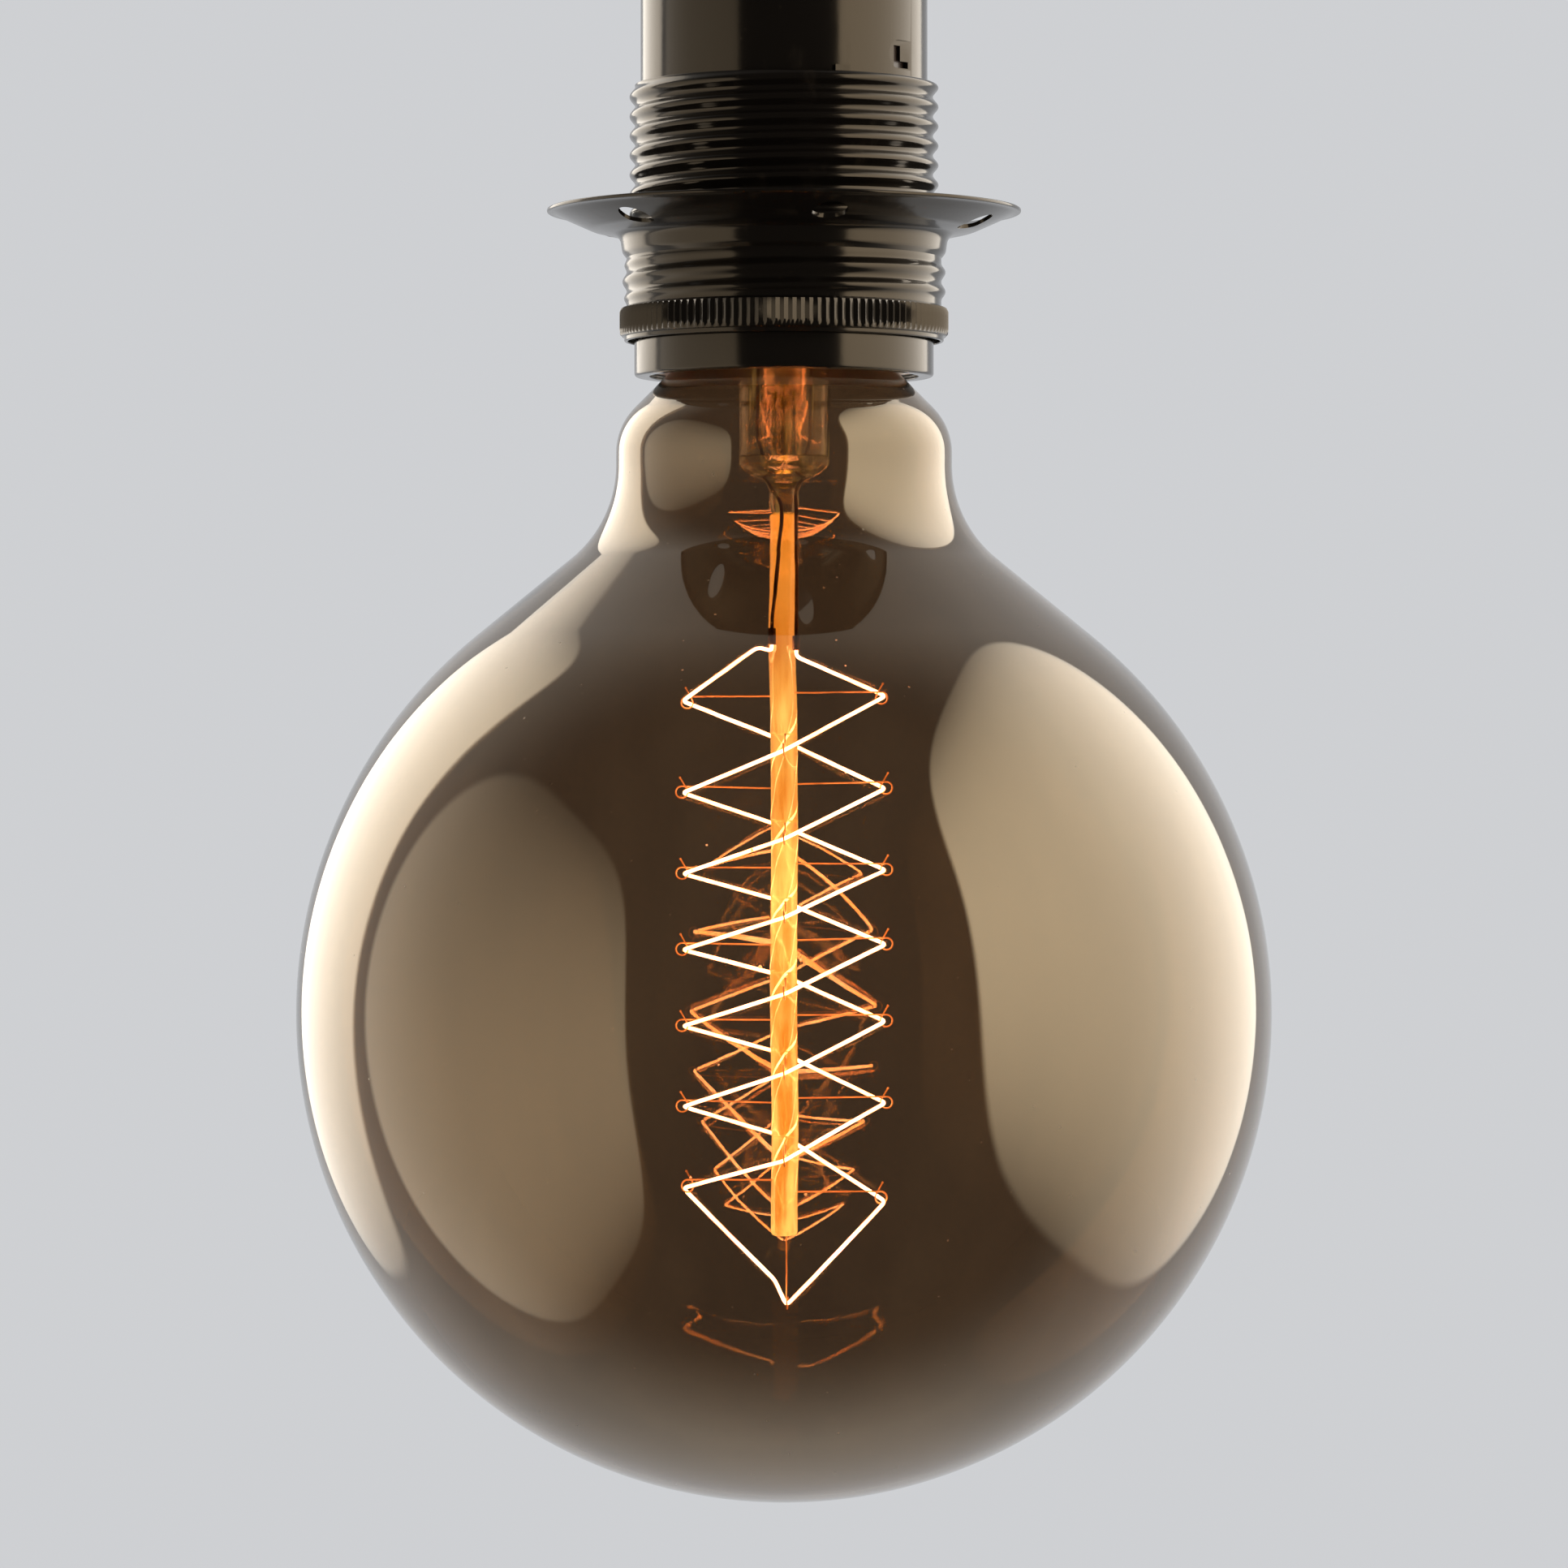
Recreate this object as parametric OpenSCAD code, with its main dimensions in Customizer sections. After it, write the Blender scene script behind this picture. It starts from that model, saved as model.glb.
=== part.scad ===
// Globe filament bulb screwed into a metal lampholder with a shade ring.
// Millimetres, +Z up. The origin is the middle of the entry collar's top face, and the bulb hangs below it.

/* [Entry collar] */
// Outer diameter of the collar
collar_d = 14; // [13:0.5:16]
// Bore that takes the M10 x 1 entry thread
entry_bore_d = 9; // [8.8:0.1:9.4]
// Height of the collar above the cap
collar_h = 7; // [5:0.5:10]
// Diameter of the collar's clamping screw
grub_d = 3; // [2:0.5:4]

/* [Cap] */
// Outer diameter of the smooth cap
cap_d = 36.8; // [34:0.2:38]
// Wall of the pressed sheet
sheet = 0.6; // [0.4:0.1:0.8]
// Height of the rounded shoulder
dome_h = 8; // [5:0.5:10]
// Length of the cap's straight side
cap_len = 21; // [18:0.5:26]
// Length of the cap that sits inside the skirt
cap_overlap = 5; // [4:0.5:6]
// Width and height of the latch slit
latch_w = 2.8; // [2:0.1:3.2]
// Angle of the latch recess round the cap
latch_angle = -36; // [-180:1:180]

/* [Skirt] */
// Diameter over the skirt's rolled thread
skirt_thread_d = 39.7; // [39:0.1:40]
// Depth of the rolled thread
skirt_thread_depth = 0.75; // [0.4:0.05:0.9]
// Pitch of the skirt and shade ring thread
shade_pitch = 2.5; // [2:0.1:3]
// Length of the skirt
skirt_len = 37.4; // [36:0.1:42]
// Height of the smooth rim under the thread
skirt_rim_h = 4.9; // [3:0.1:8]
// Height of the smooth band over the thread
skirt_top_h = 0.6; // [0.4:0.1:5]

/* [Shade ring] */
// Diameter of the flange
flange_d = 60.8; // [54:0.2:66]
// Depth of the flange's dish
dish_depth = 3.3; // [2:0.1:4]
// Distance of the flange's edge below the top of the skirt
ring_drop = 15.9; // [14.5:0.1:17]
// Sheet of the ring
ring_sheet = 0.5; // [0.4:0.05:0.7]
// Outer diameter of the band under the flange
band_d = 41.5; // [41.5:0.1:42.5]
// Gap between the ring's bore and the skirt's thread crests
ring_clear = 0.2; // [0.15:0.05:0.3]
// Height of the smooth band
band_h = 3.2; // [2:0.1:5]
// Height of the ring's rolled thread
ring_thread_h = 6; // [4:0.5:8]
// Depth of the ring's rolled thread
ring_thread_depth = 0.35; // [0.2:0.05:0.4]
// Diameter over the knurl
knurl_d = 42.2; // [42:0.1:43]
// Height of the knurl
knurl_h = 3.9; // [3:0.1:6]
// Teeth in the knurl
knurl_teeth = 124; // [60:2:140]
// Height of the lip under the knurl
lip_h = 0.6; // [0.3:0.1:1]
// Number of vent holes
vents = 6; // [3:1:8]
// Diameter of a vent hole
vent_d = 4.5; // [3:0.1:5]
// Angle of the first vent hole
vent_angle = -77; // [-180:1:180]

/* [Contacts] */
// Outer diameter of the screw shell
shell_d = 27.7; // [27.6:0.1:28]
// Gap between the threads of the shell and of the bulb's cap
thread_clear = 0.25; // [0.2:0.01:0.3]
// Length of the screw shell's thread
shell_thread_h = 22; // [16:0.5:23]
// Depth from the porcelain's seat to the tip of the bulb
contact_drop = 2; // [1.6:0.1:2.6]
// Rest gap between the centre contact and the tip of the bulb
tip_gap = 0.1; // [0.05:0.05:0.2]
// Width of the centre contact
tongue_w = 5; // [3:0.5:6]
// Thickness of the contact strip
strip = 0.4; // [0.3:0.05:0.5]

/* [Bulb] */
// Length of the bulb from the tip of its cap to the bottom of the globe
bulb_len = 175; // [168:1:215]
// Diameter of the globe
globe_d = 125; // [100:1:128]
// Wall of the glass
glass_wall = 0.9; // [0.7:0.1:1.2]
// Widest diameter of the neck
neck_d = 43.1; // [38:0.1:46]
// Radius of the neck's shoulder
shoulder_r = 8.2; // [5:0.1:9]
// Radius of the fillet between neck and globe
neck_fillet_r = 15.5; // [8:0.1:18]
// Height of the neck's straight part
neck_straight = 1.5; // [0.5:0.1:4]
// Diameter of the glass inside the cap
seat_d = 22.4; // [21:0.1:22.6]
// Height of the bulb's cap
screw_cap_h = 28; // [27:0.1:29]
// Diameter over the screw cap's thread
screw_d = 26.3; // [26:0.05:26.4]
// Depth of the screw cap's thread
screw_depth = 1.1; // [0.8:0.05:1.15]
// Pitch of the screw cap's thread
screw_pitch = 3.629; // [3.5:0.001:3.7]

/* [Stem] */
// Outer diameter of the flare tube
flare_d = 11.65; // [10:0.05:13]
// Outer diameter of the exhaust tube
exhaust_d = 3.7; // [3:0.1:4.2]
// Outer diameter of the press at the flare tube's end
press_d = 4; // [3.8:0.1:5]
// Length of the stem below the rim of the cap
stem_len = 21; // [18:0.5:26]
// Diameter of the glass centre rod
rod_d = 3.5; // [3:0.1:4]
// Height of the rod's lower end, from the middle of the globe
rod_end = -28.5; // [-32:0.5:-26]
// Diameter of a lead wire
lead_d = 0.5; // [0.4:0.05:0.7]

/* [Filament] */
// Diameter of the coiled filament wire
filament_d = 0.5; // [0.4:0.05:0.6]
// Radius of the circle on which the filament bends
filament_r = 13; // [11:0.1:15]
// Height of the first bends, from the middle of the globe
filament_top = 40.3; // [38:0.1:42]
// Fall of the filament over a quarter turn
quarter_fall = 5.31; // [5:0.01:5.6]
// Quarter turns in each of the two strands
quarters = 12; // [8:1:12]
// Uneven spacing of the bends
spacing_drift = 1.1; // [0:0.1:1.5]
// Rise of the back bends and fall of the front bends
lean = 0.75; // [0:0.05:1]
// Rise of the right bends and fall of the left bends
side_lean = 0.3; // [0:0.05:0.5]
// Rise of the last left bend and fall of the last right bend
end_skew = 1.2; // [0:0.1:1.5]
// Height of the filament's lowest point, from the middle of the globe
filament_tip = -37.4; // [-40:0.1:-34]
// Diameter of a hook's wire
hook_wire_d = 0.22; // [0.18:0.01:0.3]
// Outer diameter of a hook's eye
eye_d = 1.75; // [1.5:0.05:2]
// Length of a hook's free tail
tail_len = 1.7; // [1.2:0.05:2]

/* [Hidden] */

// Facets of exact round shapes, and of the meshed threads
$fn = 96;
thread_steps = 36;
thread_rows = 6;

// Gap between pieces that are pushed into one another
fit_gap = 0.1;
// Gap between faces that rest on one another
seat_gap = 0.05;
// Length by which a cutter runs past the face it cuts
past = 1;

// Cap and collar
collar_r = collar_d / 2;
entry_r = entry_bore_d / 2;
spigot_r = collar_r - 1;
spigot_lip = 0.8;
collar_chamfer = 0.4;
cap_r = cap_d / 2;
dome_top = -collar_h;
cap_shoulder = dome_top - dome_h;
cap_bottom = cap_shoulder - cap_len;
cap_inner_r = cap_r - sheet;
washer_t = 0.8;
washer_z = dome_top - sheet;
washer_bottom = washer_z - washer_t;
washer_r = spigot_r + 2.4;
collar_bottom = washer_bottom - 0.7;
grub_z = -collar_h / 2;
grub_slot_depth = 0.8;
latch_bar = 1.25;
latch_foot = 0.85;
latch_rise = 0.9;
latch_margin = 0.2;
latch_shift = 0.3;
recess_w = 4.9;
recess_h = 3.7;
recess_depth = 0.35;

// Skirt
skirt_top = cap_bottom + cap_overlap;
skirt_bottom = skirt_top - skirt_len;
crest_r = skirt_thread_d / 2;
skirt_rim_r = crest_r - skirt_thread_depth * 0.87;
skirt_inner_r = cap_r + 0.15;
curl_w = 1.3;
skirt_edge = 0.3;
skirt_rows = 5;
skirt_thread_phase = 1.2;
tab_w = 2;
tab_t = 0.35;
tab_h = 0.8;
tab_angle = -67;

// Porcelain block and liner
block_flange_top = cap_bottom - seat_gap;
block_flange_h = 2.4;
block_bottom = block_flange_top - block_flange_h;
block_top = cap_bottom + 9;
block_r = cap_inner_r - 0.3;
flange_r = skirt_inner_r - 0.25;
pocket_r = shell_d / 2 + 0.2;
pocket_z = cap_bottom + 0.5;
liner_top = block_bottom - seat_gap;
liner_bottom = skirt_bottom + sheet + seat_gap;
liner_bore_r = shell_d / 2 + 0.45;
liner_mouth_r = liner_bore_r + 2;
liner_mouth_h = 4.5;

// Screw cap of the bulb
tip_z = pocket_z - contact_drop;
globe_r = globe_d / 2;
globe_z = tip_z - bulb_len + globe_r;
bulb_top = bulb_len - globe_r;
cap_rim = bulb_top - screw_cap_h;
screw_r = screw_d / 2;
screw_mid_r = screw_r - screw_depth / 2;
screw_root_r = screw_r - screw_depth;
cap_wall = 0.35;
cap_plain_h = 3.5;
cap_thread_h = 19;
cap_cone_h = 2;
cap_top_r = 10;
cap_plain_r = screw_r + 0.05;
cap_thread_z = cap_rim + cap_plain_h;
cap_thread_end = cap_thread_z + cap_thread_h;
cap_cone_z = cap_thread_end + cap_cone_h;
insulator_h = 1.5;
insulator_bottom = cap_cone_z - insulator_h;
insulator_top = bulb_top - 0.9;
insulator_bore_r = 0.7;
contact_r = 4.8;
contact_t = 0.8;
solder_r = 0.8;
solder_x = cap_top_r + 1;
solder_z = cap_thread_end + 0.9;

// Screw shell of the lampholder, in step with the thread of the seated bulb
shell_r = shell_d / 2;
shell_mid_r = screw_mid_r + thread_clear;
shell_bottom = globe_z + cap_rim + cap_plain_h + 0.5;
shell_flange_t = 0.4;
shell_flange_r = shell_r - 3.2;
rivet_r = 0.8;
rivet_head_r = rivet_r + 0.3;
rivet_head_h = 0.5;
rivet_flare_h = 0.8;
rivet_ring_r = shell_r - 1.9;
rivet_angles = [60, 180, 300];

// Centre contact
hinge_x = 7;
tongue_flat = 1.5;
tongue_end_x = -4;
tongue_end_rise = 0.8;
hinge_z = pocket_z - 0.9;
tongue_z = tip_z + tip_gap;
foot_rivet_x = 8.9;
foot_rivet_r = 1.2;
foot_t = 0.5;
foot_gap = 0.5;
slot_depth = 2.5;
slot_side = 0.8;
slot_end_x = -6;

// Terminals
terminal_w = 6.5;
terminal_l = 8;
terminal_h = 6.5;
terminal_x = foot_rivet_x;
neutral_x = -terminal_x - 1;
terminal_screw_x = 0.8;
wire_bore_r = 1.4;
screw_head_r = 1.9;
screw_shank_r = 1.25;
screw_head_h = 1.6;
slot_w = 0.6;
earth_y = 10.5;
earth_w = 6;
earth_strap_t = 1.2;
earth_top = washer_bottom - 1.4;
earth_h = 6;

// Shade ring
ring_bore_r = crest_r + ring_clear;
flange_top = skirt_top - ring_drop;
flange_rim_r = flange_d / 2;
band_r = band_d / 2;
dish_z = flange_top - dish_depth;
band_bottom = dish_z - band_h;
ring_thread_bottom = band_bottom - ring_thread_h;
knurl_bottom = ring_thread_bottom - knurl_h;
lip_bottom = knurl_bottom - lip_h;
knurl_depth = 0.25;
lip_inset = 0.6;
vent_ring_r = flange_rim_r - 5;

// Neck of the globe. The shoulder rises at 45 degrees to the glass inside the cap. A short cone touches
// both the globe and the neck's fillet, whose radius is at most the one at which the two meet.
neck_r = neck_d / 2;
seat_r = seat_d / 2;
shoulder_x = neck_r - shoulder_r;
seat_start = cap_rim + 1.1;
rise_start = seat_start - (shoulder_x + shoulder_r * cos(45) - seat_r);
shoulder_z = rise_start - shoulder_r * sin(45);
fillet_z = shoulder_z - neck_straight;
touching_r = (neck_r * neck_r + fillet_z * fillet_z - globe_r * globe_r) / (2 * (globe_r - neck_r));
fillet_r = min(neck_fillet_r, touching_r);
fillet_x = neck_r + fillet_r;
centres_apart = norm([fillet_x, fillet_z]);
neck_cone_angle = atan2(fillet_z, fillet_x) - acos(min(1, (globe_r + fillet_r) / centres_apart));
seat_end = cap_rim + 9.5;
glass_steps = 40;
fillet_steps = 12;
shoulder_steps = 6;

// Stem
flare_wall = 0.9;
flare_rim_z = seat_end + seat_gap;
flare_rim_t = 0.7;
flare_bell_r = seat_r - glass_wall - 0.15;
flare_neck_z = cap_rim - 1;
press_bottom = cap_rim - stem_len;
press_shoulder = press_bottom + 3.9;
press_top = press_bottom + 7.8;
press_socket = 1.5;
exhaust_top = cap_rim + 16.5;
exhaust_wall = 0.85;
rod_r = rod_d / 2;
rod_rounding = 0.8;

// Lead wires and clamps
lead_r = lead_d / 2;
lead_x = rod_r - 0.2;
lead_y = -(rod_r + 0.05);
lead_spread = 3.4;
lead_press_x = 1.35;
lead_exit = 1.2;
left_exit_x = -0.3;
lead_gap = 0.1;
lead_sides = 8;
lead_turn_r = 0.6;
clamp_top = filament_top + 8.6;
clamp_len = 1.8;
clamp_r = 0.5;
clamp_bore_r = 0.32;
right_clamp_drop = 0.7;

// Filament
filament_turn_r = 0.7;
bend_steps = 3;
filament_sides = 6;
gap_step = 1;
gap_skip = 8;
tip_x = 0.3;
tip_kink = [-1.2, -1.2, filament_tip + 3.4];
left_arch = [-3.4, -1.6, filament_top + 6.5];

// Hooks
eye_mid_r = (eye_d - hook_wire_d) / 2;
eye_out = 0.35;
end_eye_out = 0.1;
eye_rise = 0.08;
end_shift = 1;
hook_root = 0.6;
arm_rise = 0.68;
arm_reach = sqrt(eye_mid_r * eye_mid_r - arm_rise * arm_rise);
tail_start = 150;
tail_lean = 38;
bead_r = 0.15;

// Colours
black_metal = [0.02, 0.02, 0.02];
black_glass = [0.05, 0.05, 0.06];
cement_grey = [0.75, 0.72, 0.66];
steel = [0.62, 0.62, 0.62];
brass = [0.78, 0.6, 0.28];
porcelain = [0.9, 0.88, 0.83];
amber_glass = [0.55, 0.36, 0.16, 0.35];
clear_glass = [0.8, 0.8, 0.75, 0.5];
glow = [1, 0.62, 0.2];

// Height of the surface of a rolled thread: 1 is a crest and -1 is a root
function thread_wave(z, a, pitch) = cos(360 * z / pitch - a);

// Rows [height, mean radius, half depth] of a thread that runs out to its root at both ends
function outer_thread_rows(z0, z1, crest, depth, pitch, rows) =
    let (n = round((z1 - z0) / pitch * rows))
    [for (i = [0:n])
        let (z = z0 + (z1 - z0) * i / n,
            fade = min(1, 2 * min(z - z0, z1 - z) / pitch))
        [z, crest - depth + depth / 2 * fade, depth / 2 * fade]];

// The same for a thread inside a bore, which runs out to the bore's widest radius
function inner_thread_rows(z0, z1, widest, depth, pitch, rows) =
    let (n = round((z1 - z0) / pitch * rows))
    [for (i = [0:n])
        let (z = z0 + (z1 - z0) * i / n,
            fade = min(1, 2 * min(z - z0, z1 - z) / pitch))
        [z, widest - depth / 2 * fade, depth / 2 * fade]];

function ring_points(row, pitch, steps, phase) =
    [for (k = [0:steps - 1])
        let (a = 360 * k / steps,
            r = row[1] + row[2] * thread_wave(row[0] - phase, a, pitch))
        [r * cos(a), r * sin(a), row[0]]];

// A tube whose outer and inner rows go from the bottom up. Right-handed threads.
module turned_tube(outer, inner, pitch, steps, phase = 0) {
    n_out = len(outer);
    n_in = len(inner);
    points = concat(
        [for (row = outer) each ring_points(row, pitch, steps, phase)],
        [for (row = inner) each ring_points(row, pitch, steps, phase)]);
    outer_faces = [for (i = [0:n_out - 2], k = [0:steps - 1])
        let (a = i * steps + k, b = i * steps + (k + 1) % steps)
        each [[a, a + steps, b + steps], [a, b + steps, b]]];
    inner_faces = [for (i = [0:n_in - 2], k = [0:steps - 1])
        let (a = (n_out + i) * steps + k, b = (n_out + i) * steps + (k + 1) % steps)
        each [[a, b + steps, a + steps], [a, b, b + steps]]];
    bottom_faces = [for (k = [0:steps - 1])
        let (a = k, b = (k + 1) % steps, c = n_out * steps + k, d = n_out * steps + (k + 1) % steps)
        each [[a, b, d], [a, d, c]]];
    top_faces = [for (k = [0:steps - 1])
        let (a = (n_out - 1) * steps + k, b = (n_out - 1) * steps + (k + 1) % steps,
            c = (n_out + n_in - 1) * steps + k, d = (n_out + n_in - 1) * steps + (k + 1) % steps)
        each [[a, d, b], [a, c, d]]];
    polyhedron(points, concat(outer_faces, inner_faces, bottom_faces, top_faces), convexity = 10);
}

function unit(v) = v / norm(v);

// Direction of a path at each of its points
function path_tangents(path) =
    let (last = len(path) - 1)
    [for (i = [0:last])
        i == 0 ? unit(path[1] - path[0])
        : i == last ? unit(path[last] - path[last - 1])
        : unit(unit(path[i + 1] - path[i]) + unit(path[i] - path[i - 1]))];

function square_to(n, t) = unit(n - (n * t) * t);

// Normals carried along a path without twist
function path_normals(t, first) =
    [for (i = 0, n = square_to(first, t[0]); i < len(t);
        i = i + 1, n = i < len(t) ? square_to(n, t[i]) : n) n];

// A round wire along a path
module wire(path, r, sides, first = [1, 0.3, 0.2]) {
    t = path_tangents(path);
    n = path_normals(t, first);
    last = len(path) - 1;
    points = [for (i = [0:last], k = [0:sides - 1])
        let (a = 360 * k / sides)
        path[i] + r * (cos(a) * n[i] + sin(a) * cross(t[i], n[i]))];
    side_faces = [for (i = [0:last - 1], k = [0:sides - 1])
        let (a = i * sides + k, b = i * sides + (k + 1) % sides)
        each [[a, a + sides, b + sides], [a, b + sides, b]]];
    start_face = [for (k = [0:sides - 1]) k];
    end_face = [for (k = [sides - 1:-1:0]) last * sides + k];
    polyhedron(points, concat(side_faces, [start_face, end_face]), convexity = 20);
}

// A path with each of its corners rounded
function rounded_path(path, reach, steps) =
    let (last = len(path) - 1)
    [path[0],
        for (i = [1:last - 1])
            let (p = path[i],
                before = p + reach * unit(path[i - 1] - p),
                after = p + reach * unit(path[i + 1] - p))
            for (s = [0:steps])
                let (u = s / steps)
                (1 - u) * (1 - u) * before + 2 * u * (1 - u) * p + u * u * after,
        path[last]];

// Bend of the filament after a number of quarter turns, falling clockwise seen from above
function bend_angle(strand, q) = (strand == 0 ? 180 : 0) - 90 * q;
function bend_z(strand, q) =
    filament_top - quarter_fall * q - spacing_drift * sin(360 * q / quarters)
    + lean * sin(bend_angle(strand, q)) + side_lean * cos(bend_angle(strand, q))
    + (q < quarters ? 0 : strand == 0 ? end_skew : -end_skew);
function bend_point(strand, q) =
    let (a = bend_angle(strand, q))
    [filament_r * cos(a), filament_r * sin(a), bend_z(strand, q)];

// Top of a clamp, on the left (-1) or the right (1)
function clamp_z(side) = clamp_top - (side > 0 ? right_clamp_drop : 0);

// Where the filament enters a clamp, and the first point below it
function filament_end(side) = [side * lead_x, lead_y, clamp_z(side) - clamp_len + 0.2];
function filament_start(side) = filament_end(side) - [0, 0, 1];

// The whole filament: down one strand to the tip and up the other
filament_corners = concat(
    [filament_end(-1), filament_start(-1), left_arch],
    [for (q = [0:quarters]) bend_point(0, q)],
    [tip_kink, [tip_x, 0, filament_tip]],
    [for (q = [quarters:-1:0]) bend_point(1, q)],
    [filament_start(1), filament_end(1)]);
filament_path = rounded_path(filament_corners, filament_turn_r, bend_steps);

// Where an eye holds a bend: the middle of its rounded corner or, at a strand's two ends, a little way
// along the next stretch
function eye_place(strand, q) =
    let (p = bend_point(strand, q))
    q == 0 ? p + end_shift * unit(bend_point(strand, 1) - p)
    : q == quarters ? p + end_shift * unit(bend_point(strand, q - 1) - p)
    : p + filament_turn_r / 4
        * (unit(bend_point(strand, q - 1) - p) + unit(bend_point(strand, q + 1) - p));

// Least distance between stretches of the filament that aren't neighbours
gap_points = [for (i = [0:len(filament_corners) - 2])
    let (a = filament_corners[i], b = filament_corners[i + 1], n = max(1, ceil(norm(b - a) / gap_step)))
    for (s = [0:n - 1]) a + (b - a) * s / n];
filament_gap = min([for (i = [0:len(gap_points) - 1 - gap_skip], j = [i + gap_skip:len(gap_points) - 1])
    norm(gap_points[i] - gap_points[j])]) - filament_d;
echo(filament_least_gap_to_itself = filament_gap);

module at_globe() {
    translate([0, 0, globe_z]) children();
}

module ring_of(r_out, r_in, z0, z1) {
    translate([0, 0, z0]) linear_extrude(z1 - z0) difference() {
        circle(r_out);
        circle(r_in);
    }
}

module slotted_screw(shank_r, shank_len, head_r, head_h) {
    difference() {
        union() {
            cylinder(r = shank_r, h = shank_len + fit_gap);
            translate([0, 0, shank_len]) cylinder(r = head_r, h = head_h);
        }
        translate([-head_r - past, -slot_w / 2, shank_len + head_h * 0.55])
            cube([2 * (head_r + past), slot_w, head_h]);
    }
}

module entry_collar() {
    color(black_metal) difference() {
        rotate_extrude() polygon([
            [entry_r, collar_bottom], [spigot_r + spigot_lip, collar_bottom],
            [spigot_r + spigot_lip, washer_bottom - seat_gap], [spigot_r, washer_bottom - seat_gap],
            [spigot_r, dome_top + seat_gap], [collar_r, dome_top + seat_gap],
            [collar_r, -collar_chamfer], [collar_r - collar_chamfer, 0], [entry_r, 0]]);
        translate([0, 0, grub_z]) rotate([0, 90, 0]) cylinder(r = grub_d / 2, h = collar_r + past);
    }
}

module collar_screw() {
    length = collar_r - entry_r;
    color(steel) translate([entry_r + fit_gap, 0, grub_z]) rotate([0, 90, 0]) difference() {
        cylinder(r = grub_d / 2 - seat_gap, h = length);
        translate([-grub_d, -slot_w / 2, length - grub_slot_depth])
            cube([2 * grub_d, slot_w, grub_slot_depth + past]);
    }
}

module dome_half_section(r, z_top, z_bottom, corner) {
    translate([0, z_bottom]) square([r, z_top - corner - z_bottom]);
    translate([0, z_top - corner]) square([r - corner, corner]);
    translate([r - corner, z_top - corner]) intersection() {
        circle(corner);
        square(corner);
    }
}

// The latch: a shallow stamped recess, round on one side, with an L-shaped slit through the sheet
module latch_cut() {
    slit_y = latch_shift - latch_w / 2;
    translate([cap_inner_r - past, slit_y, latch_margin]) difference() {
        cube([sheet + 2 * past, latch_w, latch_w]);
        translate([-past, latch_bar, latch_foot]) cube([sheet + 4 * past, latch_w, latch_w]);
    }
    translate([cap_r - recess_depth, (recess_h - recess_w) / 2, recess_h / 2])
        rotate([90, 0, 90]) linear_extrude(past) {
            circle(recess_h / 2);
            translate([0, -recess_h / 2]) square([recess_w - recess_h / 2, recess_h]);
        }
}

module cap_dome() {
    color(black_metal) difference() {
        rotate_extrude() difference() {
            dome_half_section(cap_r, dome_top, cap_bottom, dome_h);
            dome_half_section(cap_inner_r, dome_top - sheet, cap_bottom - past, dome_h - sheet);
            translate([0, dome_top - dome_h]) square([spigot_r + seat_gap, dome_h + past]);
        }
        rotate([0, 0, latch_angle]) translate([0, 0, skirt_top + latch_rise]) latch_cut();
    }
}

module earth_terminal() {
    color(brass) difference() {
        union() {
            ring_of(washer_r, spigot_r + seat_gap, washer_bottom, washer_z - seat_gap);
            translate([-earth_w / 2, washer_r - 1.5, earth_top - 0.5])
                cube([earth_w, earth_strap_t, washer_bottom - earth_top + 1]);
            translate([-earth_w / 2, earth_y - earth_w / 2, earth_top - earth_h])
                cube([earth_w, earth_w, earth_h]);
        }
        translate([-earth_w, earth_y, earth_top - earth_h * 0.4]) rotate([0, 90, 0])
            cylinder(r = wire_bore_r, h = 2 * earth_w);
        translate([0, earth_y, earth_top - earth_h - past])
            cylinder(r = screw_shank_r + seat_gap, h = earth_h * 0.6 + past);
    }
}

module earth_screw() {
    color(brass) translate([0, earth_y, earth_top - earth_h * 0.5]) rotate([180, 0, 0])
        slotted_screw(screw_shank_r, earth_h * 0.5 + seat_gap, screw_head_r, screw_head_h);
}

module contact_block() {
    color(porcelain) difference() {
        union() {
            translate([0, 0, block_bottom]) cylinder(r = flange_r, h = block_flange_h);
            translate([0, 0, block_bottom]) cylinder(r = block_r, h = block_top - block_bottom);
        }
        translate([0, 0, block_bottom - past]) cylinder(r = pocket_r, h = pocket_z - block_bottom + past);
        translate([slot_end_x, -tongue_w / 2 - slot_side, pocket_z - past])
            cube([hinge_x - slot_end_x + 0.6, tongue_w + 2 * slot_side, slot_depth + past]);
        translate([foot_rivet_x, 0, pocket_z - past])
            cylinder(r = foot_rivet_r + fit_gap, h = block_top - pocket_z + 2 * past);
        for (a = rivet_angles) rotate([0, 0, a]) translate([rivet_ring_r, 0, 0]) {
            translate([0, 0, pocket_z - past])
                cylinder(r = rivet_r + fit_gap, h = block_top - pocket_z + 2 * past);
            translate([0, 0, block_top - rivet_flare_h - fit_gap])
                cylinder(r1 = rivet_r + fit_gap, r2 = rivet_r + rivet_flare_h + 2 * fit_gap,
                    h = rivet_flare_h + 1.5 * fit_gap);
        }
    }
}

module terminal_body() {
    difference() {
        translate([-terminal_w / 2, -terminal_l / 2, seat_gap]) cube([terminal_w, terminal_l, terminal_h]);
        translate([0, -terminal_l / 4, terminal_h * 0.3]) cylinder(r = wire_bore_r, h = terminal_h);
        translate([0, -terminal_l / 4, terminal_h * 0.6]) rotate([0, 90, 0])
            cylinder(r = screw_shank_r + seat_gap, h = terminal_w);
    }
}

module line_terminal() {
    color(brass) translate([terminal_x, 0, block_top]) terminal_body();
}

module neutral_terminal() {
    color(brass) translate([neutral_x, 0, block_top]) rotate([0, 0, 180]) terminal_body();
}

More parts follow.
